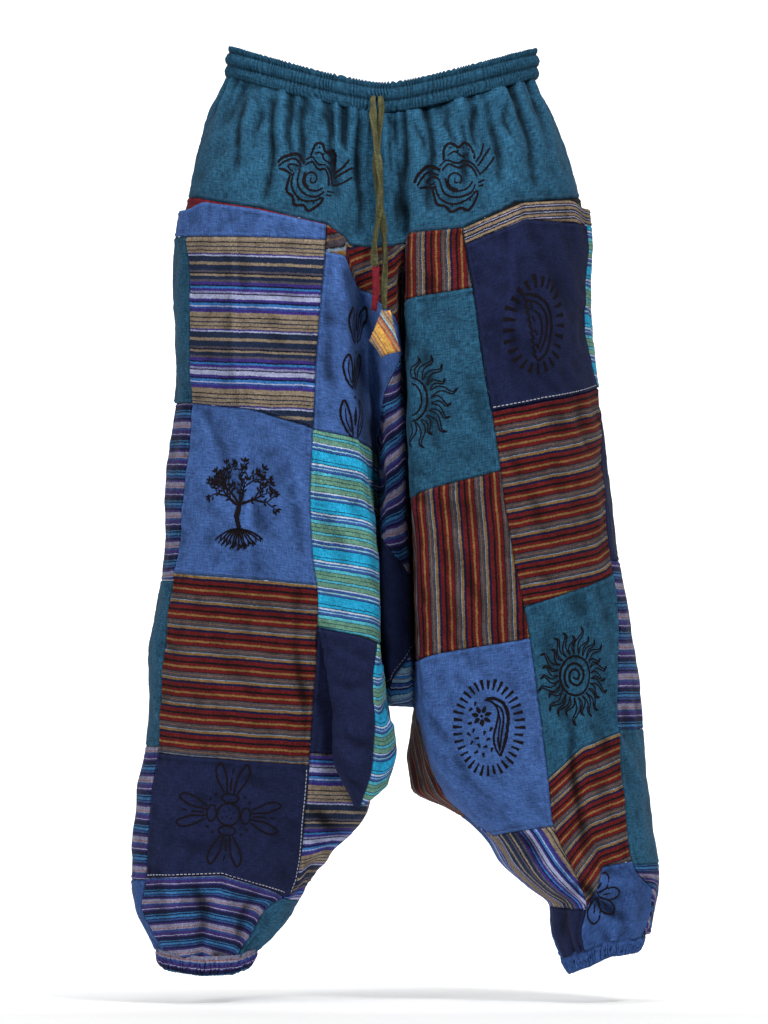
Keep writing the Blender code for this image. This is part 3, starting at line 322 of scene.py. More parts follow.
def monotone(levels, values, at):
    """Smooth curve through a table's values that adds no bumps between them."""
    levels, values = np.asarray(levels, float), np.asarray(values, float)
    step = np.diff(levels)
    slope = np.diff(values) / step
    tangent = np.zeros_like(values)
    tangent[0], tangent[-1] = slope[0], slope[-1]
    before, after = slope[:-1], slope[1:]
    same = before * after > 0
    weight_a, weight_b = 2 * step[1:] + step[:-1], step[1:] + 2 * step[:-1]
    mean = (weight_a + weight_b) / np.where(same, weight_a / np.where(same, before, 1)
                                            + weight_b / np.where(same, after, 1), 1)
    tangent[1:-1] = np.where(same, mean, 0)
    at = np.clip(np.asarray(at, float), levels[0], levels[-1])
    k = np.clip(np.searchsorted(levels, at, side="right") - 1, 0, len(step) - 1)
    h = step[k]
    t = (at - levels[k]) / h
    return ((1 + 2 * t) * (1 - t) ** 2 * values[k] + t * (1 - t) ** 2 * h * tangent[k]
            + t * t * (3 - 2 * t) * values[k + 1] + t * t * (t - 1) * h * tangent[k + 1])


def ease(low, high, value):
    """Rise smoothly from 0 at low to 1 at high."""
    t = np.clip((value - low) / (high - low), 0, 1)
    return t * t * (3 - 2 * t)


def table_curves(columns, rows, levels):
    """Every column of a table, as values at the levels."""
    drops = [row[0] for row in rows]
    return {name: monotone(drops, [row[i] for row in rows], levels)
            for i, name in enumerate(columns) if i}


LEVELS = np.arange(-25.0, 991.0, 1.0)


def leg_stations(lines, depth, side):
    """Plan positions of one leg's lines at every level, by name."""
    front, back = depth["front"], depth["back"]
    crown, outer, edge = lines["crown"], lines["outer"], lines["edge"]

    def front_depth(x):
        out = (x - crown) / (outer - crown)
        inward = np.clip((x - crown) / (edge - crown), 0, 1)
        round_side = front * (1 - np.clip(out, 0, 1) ** ROUNDNESS) ** (1 / ROUNDNESS)
        return np.where(out >= 0, round_side, front - (front - depth[side + "_edge"]) * inward ** 2)

    turn = 1 - np.clip((LEVELS - CROTCH_DROP + CROTCH_TURN) / CROTCH_TURN, 0, 1) ** 2
    open_part = np.sqrt(np.clip(turn, 0, 1))
    inseam = -depth["right_inseam"] if side == "right" else 0 * LEVELS
    wide = (lines["strip"] + lines["seam"]) / 2
    middle = (outer + lines["back_edge"]) / 2
    return {
        "outer": (outer, 0 * LEVELS),
        "strip": (lines["strip"], -front_depth(lines["strip"])),
        "wide": (wide, -front_depth(wide)),
        "seam": (lines["seam"], -front_depth(lines["seam"])),
        "edge": (edge, -depth[side + "_edge"]),
        "valley": (lines["valley"], inseam - depth[side + "_valley"] * open_part),
        "back_outer": (middle + BACK_TURN * (outer - middle),
                       back * (1 - BACK_TURN ** ROUNDNESS) ** (1 / ROUNDNESS)),
        "back_middle": (middle, back),
        "back_edge": (lines["back_edge"], depth["back_edge"]),
        "back_valley": (lines["valley"], inseam + depth["back_valley"] * open_part),
    }


def build_lattice():
    """Points of all stations at every level, with the tangents that stretches start and end with."""
    depth = table_curves(DEPTH_COLUMNS, DEPTHS, LEVELS)
    left = leg_stations(table_curves(LINE_COLUMNS, LEFT_LINES, LEVELS), depth, "left")
    right = leg_stations(table_curves(LINE_COLUMNS, RIGHT_LINES, LEVELS), depth, "right")
    gusset = table_curves(GUSSET_COLUMNS, GUSSET, LEVELS)
    turn = 1 - np.clip((LEVELS - CROTCH_DROP + CROTCH_TURN) / CROTCH_TURN, 0, 1) ** 2
    open_part = np.sqrt(np.clip(turn, 0, 1))
    across = ("back_valley", "back_edge", "back_middle", "back_outer", "outer", "strip", "wide", "seam",
              "edge", "valley")
    ring = [left[name] for name in across]
    ring += [(gusset["left"], -gusset["front"] * open_part),
             (gusset["right"], -gusset["front"] * open_part)]
    ring += [right[name] for name in reversed(across)]
    ring += [(gusset["right"], gusset["back"] * open_part), (gusset["left"], gusset["back"] * open_part)]
    points = np.array([[x, y] for x, y in ring]).transpose(0, 2, 1)

    def tangent(before, here, after):
        back_step = np.linalg.norm(here - before, axis=-1, keepdims=True) + 1e-6
        next_step = np.linalg.norm(after - here, axis=-1, keepdims=True) + 1e-6
        return ((here - before) / back_step * next_step + (after - here) / next_step * back_step) \
            / (back_step + next_step)

    tangents = tangent(np.roll(points, 1, axis=0), points, np.roll(points, -1, axis=0))
    creased = ease(190, 260, LEVELS) * (1 - ease(CROTCH_DROP, CROTCH_DROP + 70, LEVELS))
    for station in (LE, CL, CR, RE, RBE, BCR, BCL, LBE):
        tangents[station - FIRST] *= (1 - FOLD_SHARPNESS * creased)[:, None]
    starts, ends = tangents.copy(), tangents.copy()
    closed = ease(CROTCH_DROP - 60, CROTCH_DROP, LEVELS)[:, None]
    for valley, edge, back_valley, back_edge, way in ((LV, LE, LBV, LBE, 1), (RV, RE, RBV, RBE, -1)):
        front_point, back_point = points[edge - FIRST], points[back_edge - FIRST]
        joined = way * tangent(front_point, points[valley - FIRST], back_point)
        first, last = (back_valley, valley) if way > 0 else (valley, back_valley)
        starts[first - FIRST] = (1 - closed) * starts[first - FIRST] + closed * joined
        ends[last - FIRST] = (1 - closed) * ends[last - FIRST] + closed * joined
    return points, starts, ends


POINTS, STARTS, ENDS = build_lattice()


def plan_at(station, drop):
    """Plan position of the smooth cloth, and its direction round the garment."""
    row = np.clip(drop - LEVELS[0], 0, len(LEVELS) - 1.001)
    low = row.astype(int)
    part = (row - low)[..., None]
    whole = np.floor(station + 1e-9).astype(int)
    t = (station - whole)[..., None]
    a, b = (whole - FIRST) % STATIONS, (whole - FIRST + 1) % STATIONS
    p0 = POINTS[a, low] * (1 - part) + POINTS[a, low + 1] * part
    p1 = POINTS[b, low] * (1 - part) + POINTS[b, low + 1] * part
    t0 = STARTS[a, low] * (1 - part) + STARTS[a, low + 1] * part
    t1 = ENDS[b, low] * (1 - part) + ENDS[b, low + 1] * part
    h = np.linalg.norm(p1 - p0, axis=-1, keepdims=True)
    place = ((1 + 2 * t) * (1 - t) ** 2 * p0 + t * (1 - t) ** 2 * h * t0
             + t * t * (3 - 2 * t) * p1 + t * t * (t - 1) * h * t1)
    along = (6 * t * t - 6 * t) * (p0 - p1) + (3 * t * t - 4 * t + 1) * h * t0 + (3 * t * t - 2 * t) * h * t1
    return place, along / (np.linalg.norm(along, axis=-1, keepdims=True) + 1e-9)


def relief(x, y, drop):
    """Height of the named folds where the cloth is at x, y and drop."""
    height = np.zeros_like(x)
    for side, fold_x, lean, head, foot, width, tall in FOLDS:
        facing = (y < -20) if side == "front" else (y > 20)
        down = np.clip((drop - head) / (foot - head), 0, 1)
        across = (x - fold_x - lean * down) / width
        fade = np.sin(np.pi * np.clip(0.12 + 0.88 * down, 0, 1)) * (drop > head) * (drop < foot)
        height += tall * facing * fade * np.exp(-across * across)
    return height


def cloth_at(station, drop, lift=0.0):
    """Outer face of the cloth, in millimetres, lifted off it by lift."""
    station, drop = np.broadcast_arrays(np.asarray(station, float), np.asarray(drop, float))
    place, along = plan_at(station, drop)
    out = np.stack([along[..., 1], -along[..., 0]], axis=-1)
    high = relief(place[..., 0], place[..., 1], drop) + lift
    place = place + out * high[..., None]
    return np.stack([place[..., 0], place[..., 1], -drop], axis=-1)


NUDGE = 1.5


def frame_at(station, drop):
    """Points of the smooth cloth, with their outward normals."""
    here = cloth_at(station, drop)
    along = plan_at(*np.broadcast_arrays(np.asarray(station, float), np.asarray(drop, float)))[1]
    across = np.concatenate([along, np.zeros_like(along[..., :1])], axis=-1)
    down = unit(cloth_at(station, drop + NUDGE) - cloth_at(station, drop - NUDGE))
    return here, unit(np.cross(down, across))


def unit(vectors):
    """Vectors of length one."""
    return vectors / (np.linalg.norm(vectors, axis=-1, keepdims=True) + 1e-12)


def seam_at(name, station):
    """Drop of a seam at a station."""
    rows = SEAMS[name]
    return np.interp(station, [row[0] for row in rows], [row[1] for row in rows])


def pocket_lift(side):
    """How far a pocket stands off the leg: most at the middle of its mouth."""
    if side == "left":
        near, far, mouth, foot = LO, LM, "left_pocket_mouth", "left_pocket_foot"
    else:
        near, far, mouth, foot = RO, RM, "right_pocket_mouth", "right_pocket_foot"

    def lift(station, drop):
        top, bottom = seam_at(mouth, station), seam_at(foot, station)
        down = np.clip((drop - top) / (bottom - top), 0, 1)
        across = np.clip((station - far) / (near - far), 0, 1)
        bow = np.sin(np.pi * across ** 0.8)
        return POCKET_LIFT + (POCKET_GAPE * bow + 3.0 * across) * (1 - down) ** 1.6
    return lift


def band_top(x):
    """Drop of the waistband's top edge, which dips at the middle of the front and back."""
    out = np.hypot(x, BAND_DIP_WIDTH) - BAND_DIP_WIDTH
    return BAND_SIDE_RISE / 2 - BAND_SIDE_RISE * (out / BAND_HALF_WIDTH) ** 1.15


def band_edges(stations):
    """Drops of the waistband's top and bottom edges."""
    middle = np.full(np.shape(stations), 30.0)
    x = plan_at(np.asarray(stations, float), middle)[0][..., 0]
    top = band_top(x)
    return top, top + BAND_HEIGHT


def even_columns(start, end, drop_of, count):
    """Stations an even distance apart round a closed ring."""
    stations = np.linspace(start, end, 1201)
    points = cloth_at(stations, drop_of(stations))
    lengths = arc(points, 0)
    return np.interp(np.arange(count) / count * lengths[-1], lengths, stations)


def spline_point(points, at):
    """Point of a smooth curve through points, at a place counted in points."""
    k = min(int(at), len(points) - 2)
    t = at - k
    p1, p2 = points[k], points[k + 1]
    p0 = points[k - 1] if k else 2 * p1 - p2
    p3 = points[k + 2] if k + 2 < len(points) else 2 * p2 - p1
    return 0.5 * (2 * p1 + (p2 - p0) * t + (2 * p0 - 5 * p1 + 4 * p2 - p3) * t * t
                  + (3 * p1 - p0 - 3 * p2 + p3) * t ** 3)


# Finer sizes of the visible cloth, in millimetres
CLOTH = 1.2
SEAM_INSET = 0.15
COLUMN_STEP = 4.2
ROW_STEP = 4.6
EDGE_STEPS = (0.0, 0.9, 1.9, 3.0, 4.2, 6.4)
BODY = "root"

# Creases on each side: from x and drop, to x and drop, width, and height (below zero is a trough)
CREASES = {
    "front": (
        (-150, 392, -146, 560, 5, 2.8), (-160, 160, -150, 392, 4, 2.3), (-218, 330, -150, 470, 9, -2.8),
        (-215, 420, -130, 520, 10, 3.1), (-190, 560, -100, 600, 9, -2.6),
        (-225, 640, -120, 700, 12, 3.1), (-95, 560, -84, 745, 7, -3.9), (-205, 760, -110, 800, 11, 3.1),
        (-240, 830, -150, 850, 12, -3.1), (-88, 400, -80, 560, 7, 2.8), (-235, 860, -215, 950, 8, 4.2),
        (-200, 875, -196, 955, 8, -4.5), (-170, 880, -178, 955, 8, 4.2), (-140, 885, -160, 955, 7, -4.2),
        (-66, 240, -52, 360, 8, -3.1), (-60, 200, -40, 260, 6, 3.5), (-55, 470, -20, 560, 9, 2.8),
        (-60, 780, -25, 815, 7, 4.5), (-85, 800, -40, 830, 8, -4.2), (-80, 840, -60, 880, 7, 3.5),
        (34, 200, 38, 300, 6, 3.1), (42, 300, 60, 440, 8, -2.4), (30, 450, 90, 470, 8, 3.1),
        (90, 330, 120, 440, 9, -2.4), (45, 520, 60, 620, 9, 3.1), (80, 520, 120, 610, 9, -3.1),
        (60, 640, 150, 690, 10, 3.1), (45, 690, 110, 800, 10, -3.9), (60, 730, 150, 800, 9, 3.5),
        (100, 780, 170, 860, 8, -3.9), (130, 830, 190, 900, 7, 4.2), (134, 170, 130, 345, 4, 2.8),
        (150, 180, 215, 300, 10, -2.8), (120, 250, 190, 345, 11, 2.8), (120, 380, 180, 520, 10, -3.5),
        (190, 390, 240, 500, 10, 3.5), (150, 540, 230, 640, 11, 3.1), (170, 600, 200, 720, 8, -3.1),
        (200, 700, 215, 860, 6, -5.2), (255, 650, 250, 800, 8, 2.4), (200, 850, 250, 900, 9, 4.5),
        (205, 880, 262, 925, 7, -4.9), (225, 870, 270, 890, 7, 3.9), (185, 890, 200, 950, 6, -4.2),
        (-152, 28, -160, 120, 5, -4.9), (-136, 32, -139, 92, 4, -4.1), (-119, 36, -126, 150, 5, -6.4),
        (-103, 40, -99, 104, 4, -5.2), (-88, 43, -92, 118, 5, -7.2), (-72, 46, -64, 98, 4, -4.6),
        (-58, 48, -52, 150, 5, -6.7), (-40, 51, -44, 96, 4, -4.9), (-26, 53, -28, 188, 5, -7.8),
        (-9, 55, -6, 112, 4, -4.9), (8, 55, 12, 96, 4, -4.3), (22, 54, 19, 186, 5, -7.2),
        (37, 52, 42, 100, 4, -5.2), (52, 50, 49, 160, 5, -6.7), (68, 47, 74, 92, 4, -4.3),
        (83, 45, 88, 140, 5, -6.4), (99, 42, 95, 98, 4, -4.9), (114, 38, 128, 132, 5, -6.4),
        (130, 34, 134, 84, 4, -4.1), (146, 28, 166, 130, 5, -5.2),
    ),
    "back": (
        (-170, 220, -60, 330, 14, -4.2), (-200, 420, -90, 520, 14, 4.2),
        (-210, 600, -110, 640, 13, -4.2), (-90, 540, -70, 720, 12, 4.2), (-220, 760, -120, 800, 12, 4.5),
        (-230, 850, -200, 950, 9, -4.9), (-170, 870, -185, 955, 8, 4.5), (40, 240, 130, 330, 14, 4.2),
        (90, 420, 210, 500, 14, -4.2), (120, 560, 240, 650, 13, 4.2), (80, 640, 100, 760, 12, -4.2),
        (160, 740, 260, 800, 12, 4.5), (200, 850, 225, 940, 8, -4.9), (250, 850, 250, 930, 8, 4.5),
        (-30, 170, -26, 420, 9, -3.9), (24, 180, 22, 400, 9, -3.5),
    ),
}

# Soft crumples all over the cloth: wave lengths in millimetres and heights
CRUMPLES = ((150.0, 2.6), (64.0, 1.2), (33.0, 0.45), (17.0, 0.16))


def wave_set(seed, count=7):
    """Directions and phases of a few plane waves."""
    draw = np.random.default_rng(seed)
    ways = draw.normal(size=(count, 3))
    ways /= np.linalg.norm(ways, axis=1, keepdims=True)
    return ways, draw.uniform(0, 2 * math.pi, count)


WAVES = [wave_set(11 + i) for i in range(len(CRUMPLES))]


def crumple(points):
    """Uneven soft waves in the cloth."""
    height = np.zeros(points.shape[:-1])
    for (length, tall), (ways, phases) in zip(CRUMPLES, WAVES):
        field = np.zeros_like(height)
        for way, phase in zip(ways, phases):
            field += np.sin(points @ way * (2 * math.pi / length) + phase)
        field /= math.sqrt(len(ways) / 2)
        height += tall * (0.9 - np.abs(field)) if length < 100 else tall * 0.5 * field
    return height


def creases(points):
    """Height of the listed creases."""
    x, y, drop = points[..., 0], points[..., 1], -points[..., 2]
    height = np.zeros_like(x)
    rows = [(side, row) for side, rows in CREASES.items() for row in rows]
    for side, (x0, drop0, x1, drop1, width, tall) in rows:
        run = np.array([x1 - x0, drop1 - drop0], float)
        size = math.hypot(*run)
        along = ((x - x0) * run[0] + (drop - drop0) * run[1]) / size ** 2
        off = ((x - x0) * run[1] - (drop - drop0) * run[0]) / size
        off = off + 2.4 * np.sin(along * 7.0 + x0)
        facing = (y < -12) if side == "front" else (y > 12)
        fade = np.sin(math.pi * np.clip(along, 0, 1)) ** 0.7
        height += facing * tall * fade * np.exp(-(off / width) ** 2)
    return height


YOKE_GATHERS = 58
YOKE_GATHER_HEIGHT = 5.4
CUFF_FAN = 17


def yoke_gathers(station, drop, head):
    """Folds that fall from the gathered waistband and die out down the yoke."""
    turn = station + 0.16 * np.sin(station * 2.1) + 0.07 * np.sin(station * 5.3 + 1)
    phase = turn / STATIONS * YOKE_GATHERS * 2 * math.pi
    down = np.clip((drop - head) / 120, 0, 1)
    near = np.clip((drop - head) / 60, 0, 1)
    wide = np.sin(phase * 0.5 + 1.3 * np.sin(station * 1.7))
    fine = np.abs(np.sin(phase * 0.5 + 0.4))
    return YOKE_GATHER_HEIGHT * ((1 - near) ** 1.2 * (0.5 - fine) * 1.3 + 0.8 * (1 - down) ** 1.5 * wide)


def cuff_fan(station, drop):
    """Folds that fan up from the gathered cuffs."""
    left = (station >= LBV) & (station <= LV)
    seam = np.where(left, seam_at("left_cuff", station), seam_at("right_cuff", station))
    up = np.clip((seam - drop) / 58, 0, 1)
    phase = station / 9 * CUFF_FAN * 2 * math.pi + 1.1 * np.sin(station * 1.9)
    tall = (1 - up) ** 1.7 * (0.8 + 0.5 * np.sin(station * 4.1))
    return 4.6 * tall * (0.45 - np.abs(np.sin(phase / 2 + 0.9 * up * np.sin(station * 3.1))))


def form_at(station, drop, lift=0.0, extra=0.0):
    """Outer face of the dressed cloth, in millimetres."""
    station, drop = np.broadcast_arrays(np.asarray(station, float), np.asarray(drop, float))
    place, along = plan_at(station, drop)
    out = np.stack([along[..., 1], -along[..., 0]], axis=-1)
    smooth = np.stack([place[..., 0], place[..., 1], -drop], axis=-1)
    high = relief(place[..., 0], place[..., 1], drop) + crumple(smooth) + creases(smooth)
    high = high + cuff_fan(station, drop) + lift + extra
    place = place + out * high[..., None]
    return np.stack([place[..., 0], place[..., 1], -drop], axis=-1)


def arc(points, axis):
    """Lengths along the rows or columns of a grid, from its first point."""
    step = np.linalg.norm(np.diff(points, axis=axis), axis=-1)
    start = np.zeros_like(np.take(step, [0], axis=axis))
    return np.concatenate([start, np.cumsum(step, axis=axis)], axis=axis)


def spread(length, step):
    """Places along a length, close together at both ends where the seams are."""
    if length < 4 * EDGE_STEPS[-1]:
        count = max(4, int(length / 1.6))
        return np.linspace(SEAM_INSET, length - SEAM_INSET, count + 1)
    near = np.array(EDGE_STEPS) + SEAM_INSET
    far = length - near[::-1]
    count = max(1, int(round((far[0] - near[-1]) / step)))
    middle = np.linspace(near[-1], far[0], count + 1)[1:-1]
    return np.concatenate([near, middle, far])


def arc_stations(start, end, drop):
    """Stations of the columns, set out by length round the garment."""
    fine = np.linspace(start, end, 600)
    drops = np.broadcast_to(drop(fine), fine.shape)
    lengths = arc(cloth_at(fine, drops), 0)
    return np.interp(spread(lengths[-1], COLUMN_STEP), lengths, fine)


def smooth_grid(start, end, head, foot):
    """Stations and drops of a patch's fine grid."""
    stations = arc_stations(start, end, lambda s: (head(s) + foot(s)) / 2)
    top, bottom = head(stations), foot(stations)
    longest = (bottom - top).max()
    share = spread(longest, ROW_STEP) / longest
    drops = top + (bottom - top) * share[:, None]
    return np.broadcast_to(stations, drops.shape).copy(), drops


def seam_line(name):
    """A seam as a function of the station."""
    return lambda stations: seam_at(name, stations)


def edge_form(u, v, seed):
    """Dip, ridge and pucker of the cloth along its seams, from the lengths to its edges."""
    width, height = u.max(axis=1, keepdims=True), v.max(axis=0, keepdims=True)
    height_of = 0.0
    phase = seed * 1.7
    for edge, along in ((u, v), (width - u, v), (v, u), (height - v, u)):
        dip = -0.85 * np.exp(-(edge / 1.5) ** 2)
        ridge = 0.42 * np.exp(-((edge - 3.0) / 1.4) ** 2)
        stitch = -0.40 * np.exp(-((edge - 5.2) / 1.2) ** 2)
        pucker = 0.42 * np.exp(-edge / 8) * np.sin(along / 1.9 + 1.4 * np.sin(along / 9 + phase))
        height_of = height_of + dip + ridge + stitch + pucker
    return height_of


def grid_normals(points):
    """Outward unit normals of a grid."""
    across = unit(np.gradient(points, axis=1))
    down = unit(np.gradient(points, axis=0))
    return unit(np.cross(down, across))


def new_object(name, points, faces, uv, material):
    """Mesh object from points in millimetres."""
    mesh = bpy.data.meshes.new(name)
    points = np.asarray(points, float).reshape(-1, 3) * MM
    mesh.from_pydata(points.tolist(), [], faces)
    if uv is not None:
        layer = mesh.uv_layers.new(name="thread_metres")
        corner = np.zeros(len(mesh.loops), np.int32)
        mesh.loops.foreach_get("vertex_index", corner)
        layer.data.foreach_set("uv", (np.asarray(uv).reshape(-1, 2)[corner] * MM).ravel())
    mesh.shade_smooth()
    item = bpy.data.objects.new(name, mesh)
    bpy.context.scene.collection.objects.link(item)
    mesh.materials.append(material)
    return item


def grid_faces(rows, columns, ring=False):
    """Quads of a grid, wound to face outward."""
    faces = []
    last = columns if ring else columns - 1
    for i in range(rows - 1):
        for j in range(last):
            k = (j + 1) % columns
            faces.append((i * columns + j, (i + 1) * columns + j, (i + 1) * columns + k, i * columns + k))
    return faces


def add_thickness(item):
    """Give a shell its cloth thickness, inward."""
    solid = item.modifiers.new("cloth", "SOLIDIFY")
    solid.thickness = CLOTH * MM
    solid.offset = -1
    solid.use_even_offset = False


def flat_size(points):
    """Cut width, length and area of a grid, in metres, measured along its own slope."""
    a, b = points[1:, 1:] - points[:-1, :-1], points[1:, :-1] - points[:-1, 1:]
    area = np.linalg.norm(np.cross(a, b), axis=-1).sum() / 2
    width, height = arc(points, 1)[:, -1].max(), arc(points, 0)[-1].max()
    if area < 0.45 * width * height:
        width = area / (0.8 * height) if height > width else width
        height = height if height > width else area / (0.8 * width)
    elif area > width * height:
        width, height = width * 1.02, area / width
    return width * MM, height * MM, area * MM * MM


def blurred(field, passes, ring=False):
    """A grid's values averaged with their neighbours a few times."""
    for _ in range(passes):
        wide = np.pad(field, ((1, 1), (0, 0)), mode="edge")
        field = (wide[:-2] + 2 * field + wide[2:]) / 4
        wide = np.pad(field, ((0, 0), (1, 1)), mode="wrap" if ring else "edge")
        field = (wide[:, :-2] + 2 * field + wide[:, 2:]) / 4
    return field


def hollows(points, plain, ring=False):
    """Shade of each place on a cloth: darker in its folds' valleys, a little lighter on their ridges."""
    height = ((points - plain) * grid_normals(plain)).sum(axis=-1)
    shade = np.ones(height.shape)
    for passes, depth in ((3, 1.3), (16, 3.6)):
        low = (blurred(height, passes, ring) - height) / depth
        shade = shade * np.clip(1 - 0.60 * np.clip(low, 0, 1) + 0.14 * np.clip(-low, 0, 1), 0.3, 1.2)
    return shade


# Deep folds between the legs that hold shadow: from x and drop, to x and drop, width, and how dark
SHADOWED_FOLDS = (
    (-36, 225, -28, 330, 8, 0.55), (-28, 330, -14, 440, 9, 0.65), (-14, 440, -8, 690, 8, 0.75),
    (22, 230, 24, 330, 6, 0.70), (24, 330, 30, 460, 7, 0.75), (30, 460, 36, 700, 6, 0.65),
)


def fold_shadow(points):
    """Shade of the deep folds between the legs."""
    x, drop = points[..., 0], -points[..., 2]
    shade = np.ones(x.shape)
    for x0, drop0, x1, drop1, width, dark in SHADOWED_FOLDS:
        share = (drop - drop0) / (drop1 - drop0)
        off = (x - x0 - (x1 - x0) * share) / width
        near = ease(-0.12, 0.04, share) * (1 - ease(0.96, 1.12, share))
        shade = shade * (1 - dark * near * np.exp(-off * off))
    return shade


def shade_mesh(item, shade):
    """Keep the shade of each vertex for the cloth's material."""
    layer = item.data.color_attributes.new("fold_shade", "FLOAT_COLOR", "POINT")
    values = np.repeat(shade.reshape(-1, 1), 4, axis=1)
    values[:, 3] = 1
    layer.data.foreach_set("color", values.ravel())


# Yarn colours, as linear red, green and blue
YARNS = {
    "tan": (0.40, 0.29, 0.17),
    "gold": (0.40, 0.23, 0.07),
    "slate": (0.022, 0.036, 0.072),
    "dark": (0.010, 0.012, 0.030),
    "purple": (0.070, 0.042, 0.230),
    "white": (0.58, 0.58, 0.70),
    "lavender": (0.37, 0.34, 0.50),
    "sky": (0.055, 0.235, 0.52),
    "blue": (0.045, 0.095, 0.32),
    "navy": (0.013, 0.017, 0.070),
    "red": (0.215, 0.018, 0.018),
    "black": (0.013, 0.011, 0.013),
    "grey": (0.125, 0.105, 0.115),
    "ice": (0.32, 0.50, 0.60),
    "turquoise": (0.022, 0.34, 0.58),
    "aqua": (0.10, 0.42, 0.54),
    "green": (0.16, 0.29, 0.21),
    "orange": (0.45, 0.13, 0.06),
    "yellow": (0.72, 0.42, 0.10),
}

# Stripes across one repeat of each striped cloth: yarn and width in millimetres
STRIPES = {
    "tan_stripe": (
        ("tan", 5), ("dark", 1.2), ("tan", 3.5), ("slate", 1.4), ("tan", 3), ("dark", 1), ("tan", 2.5),
        ("purple", 1.6), ("white", 1.6), ("slate", 6.5), ("tan", 3.2), ("slate", 6), ("grey", 2.4),
        ("dark", 1.6), ("tan", 2.2), ("slate", 3.6), ("grey", 2.6), ("purple", 3.4), ("dark", 1.4),
        ("sky", 2.4), ("purple", 2.8), ("lavender", 2.2), ("dark", 1.4), ("white", 4.6), ("purple", 2.6),
        ("navy", 1.8), ("sky", 3), ("white", 1.4), ("blue", 2.2), ("purple", 3.6),
    ),
    "red_stripe": (
        ("ice", 0.8), ("gold", 2.5), ("navy", 2.6), ("red", 3.9), ("black", 2.4), ("red", 2.9),
        ("gold", 2.2), ("red", 3.6), ("black", 0.8), ("grey", 2.3), ("gold", 0.6), ("grey", 2.6),
        ("black", 0.7),
    ),
    "purple_stripe": (
        ("lavender", 4.2), ("orange", 0.7), ("lavender", 1.6), ("blue", 2.4), ("purple", 4),
        ("white", 0.8), ("purple", 1.6), ("navy", 4.6), ("sky", 1), ("navy", 1.6), ("sky", 2.6),
        ("navy", 0.9), ("blue", 2.2), ("navy", 2.2), ("purple", 2.2),
    ),
    "turquoise_stripe": (
        ("green", 4), ("dark", 0.7), ("aqua", 2.5), ("dark", 0.7), ("green", 4.6), ("dark", 0.7),
        ("white", 1.4), ("blue", 2.6), ("dark", 0.7), ("ice", 1.4), ("blue", 2), ("dark", 0.7),
        ("turquoise", 9.5), ("dark", 0.7), ("turquoise", 3), ("dark", 0.7), ("white", 1.8), ("blue", 2),
        ("ice", 1.1), ("blue", 2.6), ("dark", 0.7), ("aqua", 3.2), ("dark", 0.7), ("green", 3.4),
        ("dark", 0.7),
    ),
    "light_stripe": (
        ("ice", 5.4), ("navy", 0.8), ("white", 1), ("sky", 3.6), ("orange", 0.7), ("ice", 2.8),
        ("navy", 1.2), ("blue", 3.8), ("white", 0.8), ("navy", 2.2), ("sky", 4), ("dark", 1),
    ),
    "hem_stripe": (
        ("tan", 2.6), ("navy", 1.1), ("white", 1.1), ("navy", 1.6), ("tan", 2.8), ("slate", 2),
        ("white", 0.8), ("slate", 1.6),
    ),
    "yellow_stripe": (
        ("yellow", 7.5), ("orange", 2.2), ("tan", 2), ("orange", 1.6), ("grey", 1.4), ("ice", 1.8),
        ("tan", 2.4), ("grey", 0.9), ("tan", 2.6), ("orange", 1), ("yellow", 2.4), ("grey", 1),
    ),
}

# Tint over each striped cloth
STRIPE_TINTS = {
    "tan_stripe": (0.55, 0.60, 0.74), "red_stripe": (0.48, 0.46, 0.52), "purple_stripe": (0.52, 0.56, 0.56),
    "turquoise_stripe": (0.78, 0.98, 1.0), "light_stripe": (0.60, 0.66, 0.72), "hem_stripe": (0.55, 0.55,
                                                                                              0.60),
    "yellow_stripe": (0.85, 0.80, 0.80),
}

# Plain cloths: darker and lighter yarn, and how strongly they mix
PLAINS = {
    "teal": ((0.009, 0.042, 0.080), (0.026, 0.112, 0.200), 0.9),
    "teal_band": ((0.007, 0.034, 0.064), (0.020, 0.090, 0.160), 0.8),
    "blue": ((0.030, 0.074, 0.220), (0.066, 0.142, 0.385), 0.8),
    "blue_deep": ((0.016, 0.044, 0.140), (0.044, 0.100, 0.290), 0.8),
    "navy": ((0.0065, 0.0095, 0.034), (0.013, 0.019, 0.066), 0.5),
    "black": ((0.004, 0.004, 0.005), (0.012, 0.012, 0.015), 0.4),
    "maroon": ((0.105, 0.008, 0.014), (0.190, 0.016, 0.026), 0.5),
    "olive": ((0.052, 0.056, 0.026), (0.150, 0.145, 0.070), 0.7),
}

SLOTS = {
    "teal": "teal_melange", "teal_band": "teal_melange", "blue": "blue_melange", "blue_deep": "blue_melange",
    "navy": "navy_cotton", "black": "black_cotton", "maroon": "maroon_cotton", "olive": "olive_cord",
    "tan_stripe": "tan_stripe", "red_stripe": "red_stripe", "purple_stripe": "purple_stripe",
    "turquoise_stripe": "turquoise_stripe", "light_stripe": "light_stripe", "hem_stripe": "hem_stripe",
    "yellow_stripe": "yellow_stripe",
}


